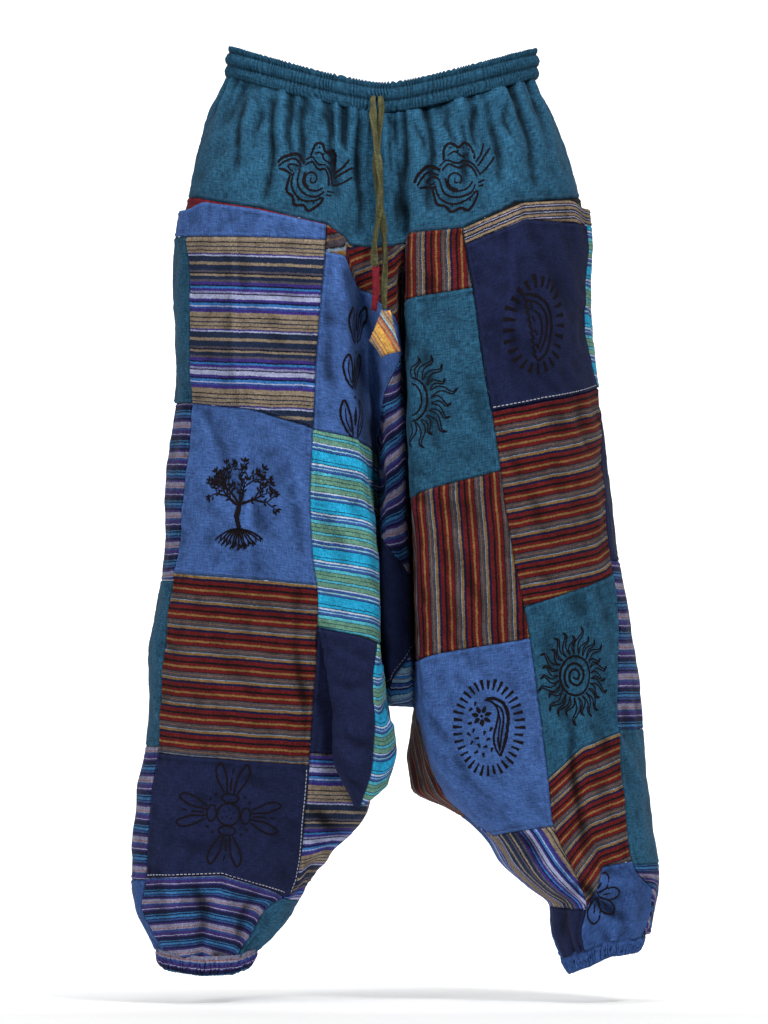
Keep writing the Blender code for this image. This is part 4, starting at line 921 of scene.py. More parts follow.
class Graph:
    """Short names for making a material's nodes."""

    def __init__(self, name):
        self.material = bpy.data.materials.new(name)
        self.material.use_nodes = True
        self.nodes = self.material.node_tree.nodes
        self.links = self.material.node_tree.links
        self.shader = self.nodes["Principled BSDF"]

    def add(self, kind, **settings):
        node = self.nodes.new("ShaderNode" + kind)
        for key, value in settings.items():
            setattr(node, key, value)
        return node

    def put(self, source, socket):
        if hasattr(source, "links"):
            self.links.new(source, socket)
        else:
            socket.default_value = source

    def math(self, operation, a, b=0.0):
        node = self.add("Math", operation=operation)
        self.put(a, node.inputs[0])
        self.put(b, node.inputs[1])
        return node.outputs[0]

    def scale(self, vector, factors):
        node = self.add("VectorMath", operation="MULTIPLY")
        self.put(vector, node.inputs[0])
        node.inputs[1].default_value = factors
        return node.outputs[0]

    def noise(self, vector, factors, detail=2.0, roughness=0.5):
        node = self.add("TexNoise")
        node.inputs["Scale"].default_value = 1.0
        node.inputs["Detail"].default_value = detail
        node.inputs["Roughness"].default_value = roughness
        self.put(self.scale(vector, factors), node.inputs["Vector"])
        return node.outputs["Fac"]

    def stretch(self, value, low, high, to_low, to_high):
        node = self.add("MapRange")
        self.put(value, node.inputs["Value"])
        for socket, number in zip(("From Min", "From Max", "To Min", "To Max"),
                                  (low, high, to_low, to_high)):
            node.inputs[socket].default_value = number
        return node.outputs["Result"]

    def mix(self, blend, factor, a, b):
        node = self.add("Mix", data_type="RGBA", blend_type=blend)
        for source, index in ((factor, 0), (a, 6), (b, 7)):
            if isinstance(source, tuple) and len(source) == 3:
                source = (*source, 1)
            self.put(source, node.inputs[index])
        return node.outputs[2]

    def grey(self, value):
        node = self.add("CombineColor")
        for i in range(3):
            self.put(value, node.inputs[i])
        return node.outputs[0]

    def ramp(self, value, stops, interpolation="LINEAR"):
        node = self.add("ValToRGB")
        ramp = node.color_ramp
        ramp.interpolation = interpolation
        while len(ramp.elements) < len(stops):
            ramp.elements.new(0.5)
        for element, (place, colour) in zip(ramp.elements, stops):
            element.position = place
            element.color = (*colour, 1)
        self.put(value, node.inputs[0])
        return node.outputs[0]


# Weave, in metres, and how every cloth takes the light
WEAVE_PITCH = 0.0011
WEAVE_RELIEF = 0.0005
WEAVE_STRENGTH = 0.55
SHEEN = 0.02
SHEEN_ROUGHNESS = 0.55
CLOTH_GLOSS = 0.10
STRIPED_ROUGHNESS = 0.90
PLAIN_ROUGHNESS = 0.92


def finish_cloth(graph, uv, colour, roughness):
    """Weave, fading, painted fold shade and sheen that every cloth here shares."""
    warp = graph.noise(uv, (1 / WEAVE_PITCH, 0.16 / WEAVE_PITCH, 1), 1.5)
    weft = graph.noise(uv, (0.16 / WEAVE_PITCH, 1 / WEAVE_PITCH, 1), 1.5)
    slub = graph.noise(uv, (60, 420, 1), 2.0)
    fade = graph.noise(uv, (14, 14, 1), 3.0, 0.6)
    tone = graph.math("MULTIPLY", graph.stretch(weft, 0.3, 0.7, 0.80, 1.22),
                      graph.stretch(warp, 0.3, 0.7, 0.86, 1.16))
    tone = graph.math("MULTIPLY", tone, graph.stretch(slub, 0.3, 0.7, 0.92, 1.08))
    tone = graph.math("MULTIPLY", tone, graph.stretch(fade, 0.3, 0.7, 0.90, 1.12))
    colour = graph.mix("MULTIPLY", 1.0, colour, graph.grey(tone))
    # Painted shade: each vertex's fold_shade darkens the colour in fold valleys and deep folds, and lightens
    # it a little on ridges
    shade = graph.add("Attribute", attribute_name="fold_shade").outputs["Color"]
    colour = graph.mix("MULTIPLY", 1.0, colour, shade)
    graph.put(colour, graph.shader.inputs["Base Color"])
    graph.shader.inputs["Roughness"].default_value = roughness
    graph.shader.inputs["Specular IOR Level"].default_value = CLOTH_GLOSS
    graph.shader.inputs["Sheen Weight"].default_value = SHEEN
    graph.shader.inputs["Sheen Roughness"].default_value = SHEEN_ROUGHNESS
    bump = graph.add("Bump")
    bump.inputs["Strength"].default_value = WEAVE_STRENGTH
    bump.inputs["Distance"].default_value = WEAVE_RELIEF
    height = graph.math("ADD", graph.math("ADD", warp, weft), graph.math("MULTIPLY", slub, 0.8))
    graph.put(height, bump.inputs["Height"])
    graph.put(bump.outputs[0], graph.shader.inputs["Normal"])
    return graph.material


def thread_uv(graph, angle):
    """The cloth's own coordinates in metres, turned to the way its stripes run."""
    uv = graph.add("UVMap", uv_map="thread_metres")
    turn = graph.add("VectorRotate", rotation_type="Z_AXIS")
    graph.put(uv.outputs[0], turn.inputs["Vector"])
    turn.inputs["Angle"].default_value = math.radians(angle)
    return turn.outputs[0]


def striped_cloth(name, angle=0.0, shift=0.0):
    """Striped cotton: bands of yarn in the order of its table."""
    graph = Graph(f"{name}_{int(angle)}_{int(shift)}")
    uv = thread_uv(graph, angle)
    split = graph.add("SeparateXYZ")
    graph.put(uv, split.inputs[0])
    wander = graph.stretch(graph.noise(uv, (38, 9, 1), 2.0), 0, 1, -0.0011, 0.0011)
    bands = STRIPES[name]
    repeat = sum(width for _, width in bands) * MM
    fuzz = graph.stretch(graph.noise(uv, (760, 240, 1), 1.5), 0.25, 0.75, -0.0006, 0.0006)
    place = graph.math("ADD", graph.math("ADD", split.outputs[1], wander),
                       graph.math("ADD", fuzz, shift * MM))
    place = graph.math("FRACT", graph.math("DIVIDE", place, repeat))
    stops, edge = [], 0.0
    for yarn, width in bands:
        stops.append((edge / repeat * MM, YARNS[yarn]))
        edge += width
    colour = graph.ramp(place, stops, "CONSTANT")
    fleck = graph.noise(uv, (900, 260, 1), 1.0)
    colour = graph.mix("OVERLAY", 0.45, colour, graph.grey(graph.stretch(fleck, 0.35, 0.65, 0.22, 0.78)))
    colour = graph.mix("MULTIPLY", 1.0, colour, STRIPE_TINTS[name])
    return finish_cloth(graph, uv, colour, STRIPED_ROUGHNESS)


def plain_cloth(name):
    """Plain cotton woven from a darker and a lighter yarn."""
    dark, light, strength = PLAINS[name]
    graph = Graph(name)
    uv = thread_uv(graph, 0.0)
    warp = graph.noise(uv, (620, 130, 1), 1.5)
    weft = graph.noise(uv, (130, 620, 1), 1.5)
    mixed = graph.stretch(graph.math("ADD", warp, weft), 1 - 0.26 / strength, 1 + 0.26 / strength, 0, 1)
    colour = graph.mix("MIX", mixed, dark, light)
    return finish_cloth(graph, uv, colour, PLAIN_ROUGHNESS)


MADE = {}


def fabric(name, angle=0.0, shift=0.0):
    """Material of a cloth, made once for each direction of its stripes."""
    key = (name, angle, shift)
    if key not in MADE:
        MADE[key] = striped_cloth(name, angle, shift) if name in STRIPES else plain_cloth(name)
    return MADE[key]


def ink_material():
    """Dark block print, worn thin in places."""
    graph = Graph("block_print_ink")
    place = graph.add("NewGeometry").outputs["Position"]
    worn = graph.noise(place, (520, 520, 520), 2.0)
    colour = graph.mix("MIX", graph.stretch(worn, 0.45, 0.80, 0, 0.30), (0.0060, 0.0036, 0.0050),
                       (0.018, 0.020, 0.036))
    graph.put(colour, graph.shader.inputs["Base Color"])
    graph.shader.inputs["Roughness"].default_value = 0.85
    graph.shader.inputs["Specular IOR Level"].default_value = 0.12
    return graph.material


def thread_material(name, colour):
    """Sewing thread."""
    graph = Graph(name)
    place = graph.add("NewGeometry").outputs["Position"]
    shade = graph.noise(place, (900, 900, 900), 1.0)
    dark = tuple(value * 0.6 for value in colour)
    graph.put(graph.mix("MIX", shade, dark, colour), graph.shader.inputs["Base Color"])
    graph.shader.inputs["Roughness"].default_value = 0.7
    return graph.material


INK = ink_material()
PALE_THREAD = thread_material("pale_thread", (0.62, 0.62, 0.66))
TONAL_THREAD = thread_material("tonal_thread", (0.030, 0.050, 0.110))


SURFACES = {}


def shell_from(node, points, plain, material, slot, ring=False, fullness=1.0):
    """Shell object from a grid of points, with its cut measured on the plain grid."""
    u, v = arc(plain, 1), arc(plain, 0)
    uv = np.stack([u - u[:, u.shape[1] // 2][:, None], v], axis=-1)
    rows, columns = points.shape[:2]
    item = new_object(node + "_cloth", points, grid_faces(rows, columns, ring), uv, material)
    shade = hollows(points, plain, ring)
    if node.startswith(("centre", "gusset")):
        shade = shade * fold_shadow(points)
    shade_mesh(item, shade)
    add_thickness(item)
    SURFACES[node] = BVHTree.FromPolygons(points.reshape(-1, 3).tolist(), grid_faces(rows, columns, ring))
    width, length, area = flat_size(plain)
    width, area = width * fullness, area * fullness
    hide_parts(node)
    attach(item, BODY)
    area if area < 0.995 * width * length else None
    return item


def add_patch(node, start, end, head, foot, cut, lift=None, gather=None):
    """Thin cloth shell over one patch."""
    stations, drops = smooth_grid(start, end, head, foot)
    rise = 0.0 if lift is None else lift(stations, drops)
    plain = cloth_at(stations, drops, rise)
    extra = edge_form(arc(plain, 1), arc(plain, 0), len(node))
    if gather is not None:
        extra = extra + gather(stations)
    points = form_at(stations, drops, rise, extra)
    return shell_from(node, points, plain, fabric(*cut), SLOTS[cut[0]])


# How far the gusset's back runs on inside its neighbours, in stations, and how deep, in millimetres
SIDE_TUCK = 0.1
SIDE_TUCK_DEPTH = 1.5


def side_tuck(start, end):
    """Dip of a patch's sides where they lie inside their neighbours."""
    def dip(stations):
        free = ease(start, start + SIDE_TUCK, stations) * ease(-end, SIDE_TUCK - end, -stations)
        return -SIDE_TUCK_DEPTH * (1 - free)
    return dip


def hem_head(name, start, end, mirrored):
    """Upper edge of a pocket's hem: open at the side, and up against the yoke further in."""
    def head(stations):
        share = (np.asarray(stations, float) - start) / (end - start)
        share = 1 - share if mirrored else share
        inner = ease(0.34, 0.46, share)
        own = seam_at(name, stations)
        meets = np.minimum(own, seam_at("yoke", stations) + 0.8)
        return own + (meets - own) * inner
    return head


def add_patches():
    """Every patch and pocket piece."""
    for node, start, end, head, foot, *cut in PATCHES:
        gather = None
        if node == "gusset_back_navy":
            gather = side_tuck(start, end)
            start, end = start - SIDE_TUCK, end + SIDE_TUCK
        add_patch(node, start, end, seam_line(head), seam_line(foot), cut, gather=gather)
    for node, start, end, head, foot, *cut in POCKETS:
        top = hem_head(head, start, end,
                       node.startswith("right")) if node.endswith("hem") else seam_line(head)
        add_patch(node, start, end, top, seam_line(foot), cut, pocket_lift(node.split("_")[0]))


YOKE_FULLNESS = 1.12
TUCK = 6.0
TUCK_DEPTH = 1.8


def yoke_foot(stations):
    """Drop of the yoke's lower seam, also past the back seam."""
    stations = np.asarray(stations, float)
    return seam_at("yoke", np.where(stations > LBV + STATIONS, stations - STATIONS, stations))


def yoke_head(stations):
    """Drop of the yoke's upper edge, tucked up inside the waistband."""
    return band_edges(stations)[1] + BAND_EASE - TUCK


def add_yoke():
    """Front and back of the yoke, gathered into the waistband."""
    for node, start, end in (("yoke_front", LO, RO), ("yoke_back", RO, LO + STATIONS)):
        stations, drops = smooth_grid(start, end, yoke_head, yoke_foot)
        plain = cloth_at(stations, drops)
        head = yoke_head(stations)
        free = ease(0, TUCK + 3, drops - head)
        extra = edge_form(arc(plain, 1), arc(plain, 0), 5) + yoke_gathers(stations, drops, head) * free
        extra = extra - TUCK_DEPTH * (1 - free)
        points = form_at(stations, drops, 0.0, extra)
        shell_from(node, points, plain, fabric("teal"), "teal_melange", fullness=YOKE_FULLNESS)


# Across the waistband: share of its height, and how far the cloth stands out
BAND_FORM = ((0.0, 1.4), (0.05, 2.1), (0.13, 1.9), (0.19, 0.4), (0.25, 2.6), (0.40, 4.2), (0.53, 3.4),
             (0.60, 0.7), (0.66, 2.0), (0.80, 2.9), (0.93, 1.8), (1.0, 0.2))
RING_FULLNESS = 1.6
BAND_ROWS = 25
BAND_COLUMNS = 1780
BAND_FOLDS = 222
BAND_FOLD_DEPTH = 3.6
RUFFLE_HEIGHT = 2.2
RUFFLE_SHARE = 0.12
# How freely the gathers stand out, at shares of the height
BAND_LOOSE = ((0.0, 1.15), (0.10, 0.8), (0.2, 0.55), (0.4, 1.1), (0.6, 0.55), (0.8, 1.0), (1.0, 0.6))
# The same two tables for the cuffs
CUFF_FORM = ((0.0, -1.9), (0.16, -1.6), (0.30, 0.6), (0.60, 1.3), (0.85, 1.0), (1.0, 0.0))
CUFF_LOOSE = ((0.0, 0.15), (0.16, 0.3), (0.35, 0.9), (0.6, 1.15), (0.85, 0.9), (1.0, 0.6))
CUFF_TUCK = 4.0
CUFF_ROWS = 18
CUFF_COLUMNS = 520
CUFF_FOLDS = 34
CUFF_FOLD_DEPTH = 4.2
CUFF_STATIONS = 9


def gather_wave(turn, share, folds, seed):
    """Uneven gathers round a ring: sharp valleys between round folds, drifting from row to row."""
    draw = np.random.default_rng(seed)
    phase = turn * folds
    for times in (3, 7, 12, 19, 31):
        phase = phase + draw.uniform(0.2, 0.55) * np.sin(2 * math.pi * times * turn + draw.uniform(0, 6.3))
    drift = 0.16 * np.sin(share * 7 + turn * 40) + 0.08 * np.sin(share * 19 + turn * 110)
    fold = np.abs(np.sin(math.pi * (phase + drift)))
    tall = 0.75 + 0.35 * np.sin(2 * math.pi * 23 * turn + 5 * share) * np.sin(2 * math.pi * 9 * turn)
    return tall * (fold ** 0.85 - 0.60)


def ring_grid(start, end, top, bottom, columns, rows):
    """Stations and shares of a ring's grid."""
    stations = even_columns(start, end, top, columns)
    share = np.linspace(0, 1, rows)[:, None]
    low, high = top(stations) + SEAM_GAP / 2, bottom(stations) - SEAM_GAP / 2
    return stations, share, low + (high - low) * share


def add_ring(node, start, end, top, bottom, columns, rows, form, loose, folds, depth, name, slot, seed):
    """Gathered elastic ring."""
    stations, share, drops = ring_grid(start, end, top, bottom, columns, rows)
    stations = np.broadcast_to(stations, drops.shape)
    plain, normal = frame_at(stations, drops)
    lengths = arc(cloth_at(stations[:1], drops[:1]), 1)
    turn = np.broadcast_to(lengths / (lengths[0, -1] * (1 + 1 / columns)), drops.shape)
    stand = np.interp(share, [row[0] for row in form], [row[1] for row in form])
    loose = np.interp(share, [row[0] for row in loose], [row[1] for row in loose])
    wave = gather_wave(turn, share, folds, seed)
    out = stand + depth * loose * wave
    points = plain + normal * out[..., None]
    if node == "waistband":
        points[..., 2] += RUFFLE_HEIGHT * wave * np.clip(1 - share / RUFFLE_SHARE, 0, 1)
    shell_from(node, points, plain, fabric(name), slot, ring=True, fullness=RING_FULLNESS)


def add_rings():
    """Waistband and cuffs."""
    add_ring("waistband", FIRST, FIRST + STATIONS, lambda s: band_edges(s)[0], lambda s: band_edges(s)[1],
             BAND_COLUMNS, BAND_ROWS, BAND_FORM, BAND_LOOSE, BAND_FOLDS, BAND_FOLD_DEPTH,
             "teal_band", "teal_melange", 3)
    for node, start, seam, name, slot, seed in (
            ("left_cuff", LBV, "left_cuff", "purple_stripe", "purple_stripe", 5),
            ("right_cuff", RV, "right_cuff", "blue_deep", "light_stripe", 6)):
        add_ring(node, start, start + CUFF_STATIONS,
                 lambda s, seam=seam: seam_at(seam, s) + CUFF_EASE - CUFF_TUCK,
                 lambda s, seam=seam: seam_at(seam, s) + CUFF_EASE + CUFF_HEIGHT,
                 CUFF_COLUMNS, CUFF_ROWS, CUFF_FORM, CUFF_LOOSE, CUFF_FOLDS, CUFF_FOLD_DEPTH,
                 name, slot, seed)


# Gusset under the crotch: its width for the grid, column step, and rows of each bend and of the back
TURN_WIDTH = 60.0
TURN_STEP = 1.6
TURN_ROWS = 18
TURN_FOOT_ROWS = 14
TURN_STRIPES = -40


def add_gusset_turn():
    """Light striped patch that runs from the front under the crotch to the back."""
    share = spread(TURN_WIDTH, TURN_STEP) / TURN_WIDTH
    front = LV + (RV - LV) * share
    back = LBV + STATIONS - (LBV + STATIONS - RBV) * share
    turn_head = CROTCH_DROP - CROTCH_TURN
    head = np.arcsin(np.clip((seam_at("gusset_navy_foot", front) - turn_head) / CROTCH_TURN, 0, 1))
    rows = [cloth_at(front, turn_head + CROTCH_TURN * np.sin(head + (math.pi / 2 - head) * part))
            for part in np.linspace(0, 1, TURN_ROWS)]
    rows += [cloth_at(back, turn_head + CROTCH_TURN * math.sin(angle))
             for angle in np.linspace(math.pi / 2, math.pi, TURN_ROWS)[1:]]
    foot = seam_at("gusset_back", back)
    rows += [cloth_at(back, turn_head + (foot - turn_head) * part)
             for part in np.linspace(0, 1, TURN_FOOT_ROWS)[1:]]
    plain = np.array(rows)
    plain[0] += (0, 0, -0.2)
    plain[-1] += (0, 0, -0.2)
    extra = edge_form(arc(plain, 1), arc(plain, 0), 4) + crumple(plain)
    points = plain + grid_normals(plain) * extra[..., None]
    shell_from("gusset_light_turn", points, plain, fabric("light_stripe", TURN_STRIPES), "light_stripe")


POUCH_ROWS = 46
POUCH_COLUMNS = 72


def pouch_grid():
    """Smooth form of the pouch fold, as rows down it and columns round it."""
    heads = cloth_at([s for s, _ in POUCH_HEAD], [d for _, d in POUCH_HEAD], POUCH_HEAD_LIFT)
    lines = []
    for head, (_, points) in zip(heads, POUCH_LINES):
        table = np.array([head] + [(x, y, -drop) for x, y, drop in points])
        places = np.linspace(0, 4, POUCH_ROWS)
        lines.append(np.array([monotone(range(5), table[:, i], places) for i in range(3)]).T)
    grid = np.array(lines).transpose(1, 0, 2)
    places = np.linspace(0, len(POUCH_LINES) - 1, POUCH_COLUMNS * 2 + 1)
    return np.array([[spline_point(row, place) for place in places] for row in grid])


# Creases of the pouch: place across it (0 to 6) and down it (0 to 1) from and to, width and height
POUCH_CREASES = (
    (1.2, 0.10, 2.8, 0.16, 0.030, 1.8), (1.0, 0.30, 2.9, 0.24, 0.030, -1.6), (1.4, 0.55, 2.9, 0.62, 0.035,
                                                                              -2.4),
    (1.0, 0.64, 2.6, 0.72, 0.035, 2.2), (1.6, 0.80, 2.8, 0.86, 0.030, -1.6), (3.1, 0.20, 5.0, 0.14, 0.030,
                                                                              1.6),
    (3.2, 0.45, 4.8, 0.42, 0.040, -2.2), (3.1, 0.56, 4.8, 0.60, 0.040, 2.4), (3.2, 0.78, 4.6, 0.72, 0.035,
                                                                              -2.0),
)


def add_pouch():
    """Pouch fold over the left lower leg: navy flap and turquoise edge."""
    plain = pouch_grid()
    down = np.linspace(0, 1, POUCH_ROWS)[:, None]
    across = np.linspace(0, len(POUCH_LINES) - 1, POUCH_COLUMNS * 2 + 1)[None, :]
    extra = crumple(plain) * 0.8
    for a0, d0, a1, d1, width, tall in POUCH_CREASES:
        share = np.clip((across - a0) / (a1 - a0), 0, 1)
        off = (down - d0 - (d1 - d0) * share) / width
        extra = extra + tall * np.sin(math.pi * share) ** 0.8 * np.exp(-off * off)
    normal = grid_normals(plain)
    points = plain + normal * extra[..., None]
    for node, part, name, slot in (
            ("pouch_navy", slice(0, POUCH_COLUMNS + 1), "navy", "navy_cotton"),
            ("pouch_turquoise", slice(POUCH_COLUMNS, None), "turquoise_stripe", "turquoise_stripe")):
        own, base = points[:, part].copy(), plain[:, part]
        u = arc(base, 1)
        for edge in (u, u[:, -1:] - u):
            dip = -0.8 * np.exp(-(edge / 1.6) ** 2) + 0.4 * np.exp(-((edge - 3.2) / 1.6) ** 2)
            own += normal[:, part] * dip[..., None]
        inset = unit(np.gradient(base, axis=1))
        own[:, 0] += inset[:, 0] * SEAM_INSET
        own[:, -1] -= inset[:, -1] * SEAM_INSET
        shell_from(node, own, base, fabric(name), slot)


# Drawstring: half width and half thickness of the crumpled tape, in millimetres
TAPE_HALF_WIDTH = 3.9
TAPE_HALF_DEPTH = 2.0
TAPE_SIDES = 20
TAPE_SIDE = 1.2
CORD_STEP = 2.0
# The tape's neck at its eyelet: rows, width there and how much each row adds, as shares
NECK_ROWS = 4
NECK_WIDTH = 0.62
NECK_GROWTH = 0.08
NECK_DEPTH = 0.9


def cord_path(route):
    """Smooth places along a drawstring end."""
    points = np.array([(x, y, -drop) for x, y, drop in route], float)
    fine = np.array([spline_point(points, u) for u in np.linspace(0, len(points) - 1, 600)])
    lengths = arc(fine, 0)
    count = int(lengths[-1] / CORD_STEP)
    at = np.linspace(0, lengths[-1], count + 1)
    return np.stack([np.interp(at, lengths, fine[:, i]) for i in range(3)], axis=-1), lengths[-1]


def add_cord(node, route, twist, seed):
    """One end of the drawstring: a soft crumpled tape, turning as it hangs."""
    path, length = cord_path(route)
    draw = np.random.default_rng(seed)
    tangent = unit(np.gradient(path, axis=0))
    side = unit(np.cross(tangent, np.array([0.0, 1.0, 0.0])))
    front = unit(np.cross(side, tangent))
    rings = []
    phases = draw.uniform(0, 6.3, 4)
    for i, place in enumerate(path):
        run = i / (len(path) - 1)
        turn = twist * (math.sin(run * 7 + phases[0]) + 0.5 * math.sin(run * 17 + phases[1]))
        width = TAPE_HALF_WIDTH * (0.86 + 0.14 * math.sin(run * 23 + phases[2]))
        depth = TAPE_HALF_DEPTH * (1.0 + 0.35 * math.sin(run * 31 + phases[3]))
        if i < NECK_ROWS:
            width = TAPE_HALF_WIDTH * (NECK_WIDTH + NECK_GROWTH * i)
            depth = TAPE_HALF_DEPTH * NECK_DEPTH
        ring = []
        for k in range(TAPE_SIDES):
            angle = 2 * math.pi * k / TAPE_SIDES
            fold = 1 + 0.16 * math.sin(3 * angle + run * 11) + 0.09 * math.sin(5 * angle - run * 29)
            a, b = width * math.cos(angle) * fold, depth * math.sin(angle) * fold
            ring.append(place + side[i] * (a * math.cos(turn) - b * math.sin(turn))
                        + front[i] * (a * math.sin(turn) + b * math.cos(turn)))
        rings.append(ring)
    rings = np.array(rings)
    rows = len(rings)
    faces = [(i * TAPE_SIDES + j, i * TAPE_SIDES + (j + 1) % TAPE_SIDES,
              (i + 1) * TAPE_SIDES + (j + 1) % TAPE_SIDES, (i + 1) * TAPE_SIDES + j)
             for i in range(rows - 1) for j in range(TAPE_SIDES)]
    faces.append(tuple(range(TAPE_SIDES))[::-1])
    faces.append(tuple((rows - 1) * TAPE_SIDES + j for j in range(TAPE_SIDES)))
    around = np.broadcast_to(np.arange(TAPE_SIDES) * TAPE_SIDE, (rows, TAPE_SIDES))
    down = np.broadcast_to(np.arange(rows)[:, None] * CORD_STEP, (rows, TAPE_SIDES))
    uv = np.stack([around, down], axis=-1)
    tape = new_object(node + "_tape", rings, faces, uv, fabric("olive"))
    # Painted shade on the tape: darker where its surface lies near its middle line, lighter further out
    round_tape = np.abs(rings - path[:, None]).sum(axis=-1)
    shade_mesh(tape, np.clip(0.45 + 0.62 * round_tape / round_tape.max(), 0.4, 1.1))
    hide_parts(node)
    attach(tape, BODY)


# Tabs: layers from the middle out, places along each side, pull of the sides, roundness and half edge
TAB_LAYERS = 9
TAB_SIDE_PLACES = 8
TAB_PULL = 0.05
TAB_PUFF = 2.4
TAB_EDGE = 0.25
TAB_STRIPES = 58


def add_tab(node, outline, depth, name, crown):
    """Padded tab at the end of the drawstring, puffed between its sewn edges."""
    outline = np.array(outline, float)
    centre = outline.mean(axis=0)
    spokes = []
    count = len(outline)
    for i in range(count):
        a, b = outline[i], outline[(i + 1) % count]
        for t in np.linspace(0, 1, TAB_SIDE_PLACES + 1)[:-1]:
            pull = TAB_PULL * math.sin(math.pi * t)
            spokes.append((a + (b - a) * t) * (1 - pull) + centre * pull)
    spokes = np.array(spokes)
    points, uv, faces = [], [], []
    for sign in (-1, 1):
        for k in range(TAB_LAYERS):
            share = k / (TAB_LAYERS - 1)
            rise = TAB_THICKNESS / 2 * (1 - share ** TAB_PUFF) ** 0.5 * crown + TAB_EDGE
            for x, z in centre + (spokes - centre) * share:
                points.append((x, -depth + sign * rise, z))
                uv.append((x, z))
    size = len(spokes)
    for half in (0, 1):
        base = half * TAB_LAYERS * size
        for k in range(TAB_LAYERS - 1):
            for j in range(size):
                n = (j + 1) % size
                inner, outer = base + k * size, base + (k + 1) * size
                quad = (inner + j, inner + n, outer + n, outer + j)
                faces.append(quad if half else quad[::-1])
    for j in range(size):
        n = (j + 1) % size
        a, b = (TAB_LAYERS - 1) * size, (2 * TAB_LAYERS - 1) * size
        faces.append((a + j, a + n, b + n, b + j))
    material = fabric(name, TAB_STRIPES) if name in STRIPES else fabric(name)
    tab = new_object(node + "_pad", points, faces, uv, material)
    shade_mesh(tab, np.ones(len(points)))
    mesh = bmesh.new()
    mesh.from_mesh(tab.data)
    bmesh.ops.remove_doubles(mesh, verts=mesh.verts[:], dist=1e-6)
    bmesh.ops.recalc_face_normals(mesh, faces=mesh.faces[:])
    mesh.to_mesh(tab.data)
    mesh.free()
    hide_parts(node)
    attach(tab, BODY)
    return tab


# Prints: height above the cloth, spread of the ink in its lines, and step along a stroke
PRINT_LIFT = 0.32
INK_SPREAD = 1.35
STROKE_STEP = 1.25
# How wide a stroke is along its length, by its kind
SHAPES = {
    "line": lambda t: 0.72 + 0.28 * np.sin(math.pi * t) ** 0.5,
    "tail": lambda t: 1.0 - 0.75 * t,
    "leaf": lambda t: np.sin(math.pi * t ** 0.8) ** 0.8 + 0.08,
    "wedge": lambda t: 0.55 + 0.55 * t,
    "dot": lambda t: np.sqrt(np.clip(1 - (2 * t - 1) ** 2, 0.02, 1)),
}


def curve(*points):
    """Smooth line through a few places."""
    table = np.array(points, float)
    return np.array([spline_point(table, at) for at in np.linspace(0, len(table) - 1, 8 * len(table))])


def ring_line(x, y, across, up, start=0.0, end=360.0):
    """Part of an ellipse, with angles in degrees."""
    angles = np.radians(np.linspace(start, end, 40))
    return np.stack([x + across * np.cos(angles), y + up * np.sin(angles)], axis=-1)


def spiral_line(x, y, inner, outer, turns, start):
    """Spiral from its inner to its outer radius."""
    share = np.linspace(0, 1, 70)
    angles = math.radians(start) + 2 * math.pi * turns * share
    radii = inner + (outer - inner) * share
    return np.stack([x + radii * np.cos(angles), y + radii * np.sin(angles)], axis=-1)


def turned(points, angle):
    """Line turned about the middle."""
    c, s = math.cos(math.radians(angle)), math.sin(math.radians(angle))
    return np.asarray(points, float) @ np.array(((c, s), (-s, c)))


def dot(x, y, size):
    """Round spot."""
    return (np.array(((x - size / 2, y), (x, y), (x + size / 2, y))), size, "dot")


def limb(strokes, draw, start, heading, length, width, level):
    """Branch of the tree with its leaves and its smaller branches."""
    bend = draw.uniform(-0.35, 0.35)
    steps = [np.array(start, float)]
    for i in range(4):
        heading += bend / 3
        steps.append(steps[-1] + length / 4 * np.array((math.cos(heading), math.sin(heading))))
    strokes.append((curve(*steps), width, "line"))
    tip = steps[-1]
    leaf = 4.6 if level else 5.4
    for place, side in ((2, 1), (3, -1), (4, 1), (4, -1)) if level == 0 else ((3, 1), (3, -1)):
        away = heading + side * draw.uniform(0.55, 0.95)
        base = steps[place]
        strokes.append((np.array([base + leaf * k * np.array((math.cos(away), math.sin(away)))
                                  for k in (0.25, 0.75, 1.3)]), 2.2, "leaf"))
    if level == 0:
        strokes.append((np.array([tip + leaf * k * np.array((math.cos(heading), math.sin(heading)))
                                  for k in (0.0, 0.6, 1.2)]), 2.9, "leaf"))
        return
    for turn, share in ((0.62, 0.80), (-0.55, 0.86), (0.05, 0.62))[:3 if level > 1 else 2]:
        limb(strokes, draw, tip, heading + turn + draw.uniform(-0.15, 0.15), length * share, width * 0.66,
             level - 1)


def tree_print():
    """Tree of life with spreading roots."""
    strokes = []
    draw = np.random.default_rng(12)
    strokes.append((curve((1, -23), (-1.5, -12), (-0.5, -4), (1.5, 4)), 4.2, "line"))
    limb(strokes, draw, (0.5, 1), 2.66, 17, 2.2, 2)
    limb(strokes, draw, (1, 2), 0.45, 17, 2.2, 2)
    limb(strokes, draw, (0.5, 2), 2.10, 19, 1.9, 2)
    limb(strokes, draw, (0.5, 2), 1.05, 19, 1.9, 2)
    limb(strokes, draw, (1, 3), 1.60, 13, 1.6, 1)
    for k in range(13):
        side = (k - 6) / 6
        end = (27 * side + 0.8 * math.sin(k * 2.1),
               -28 - 17 * math.cos(side * 1.25) - 1.5 * math.sin(k * 3.3))
        mid = (13 * side, -26 - 5 * (1 - abs(side)))
        strokes.append((curve((0.3 * side, -23), mid, end), 1.5, "line"))
        for part, way in ((0.55, 1), (0.75, -1)):
            base = np.array(mid) * (1 - part) + np.array(end) * part
            twig = base + (4.2 * side + 2.2 * way, -5.0)
            strokes.append((curve(base, (base + twig) / 2 + (0.6 * way, 0), twig), 1.2, "line"))
    return strokes


PRONG = ((21, 3), (29, 4), (37, 5), (46, 9), (51, 13), (45, 16.5), (36, 14.5), (28, 10), (21.5, 6))


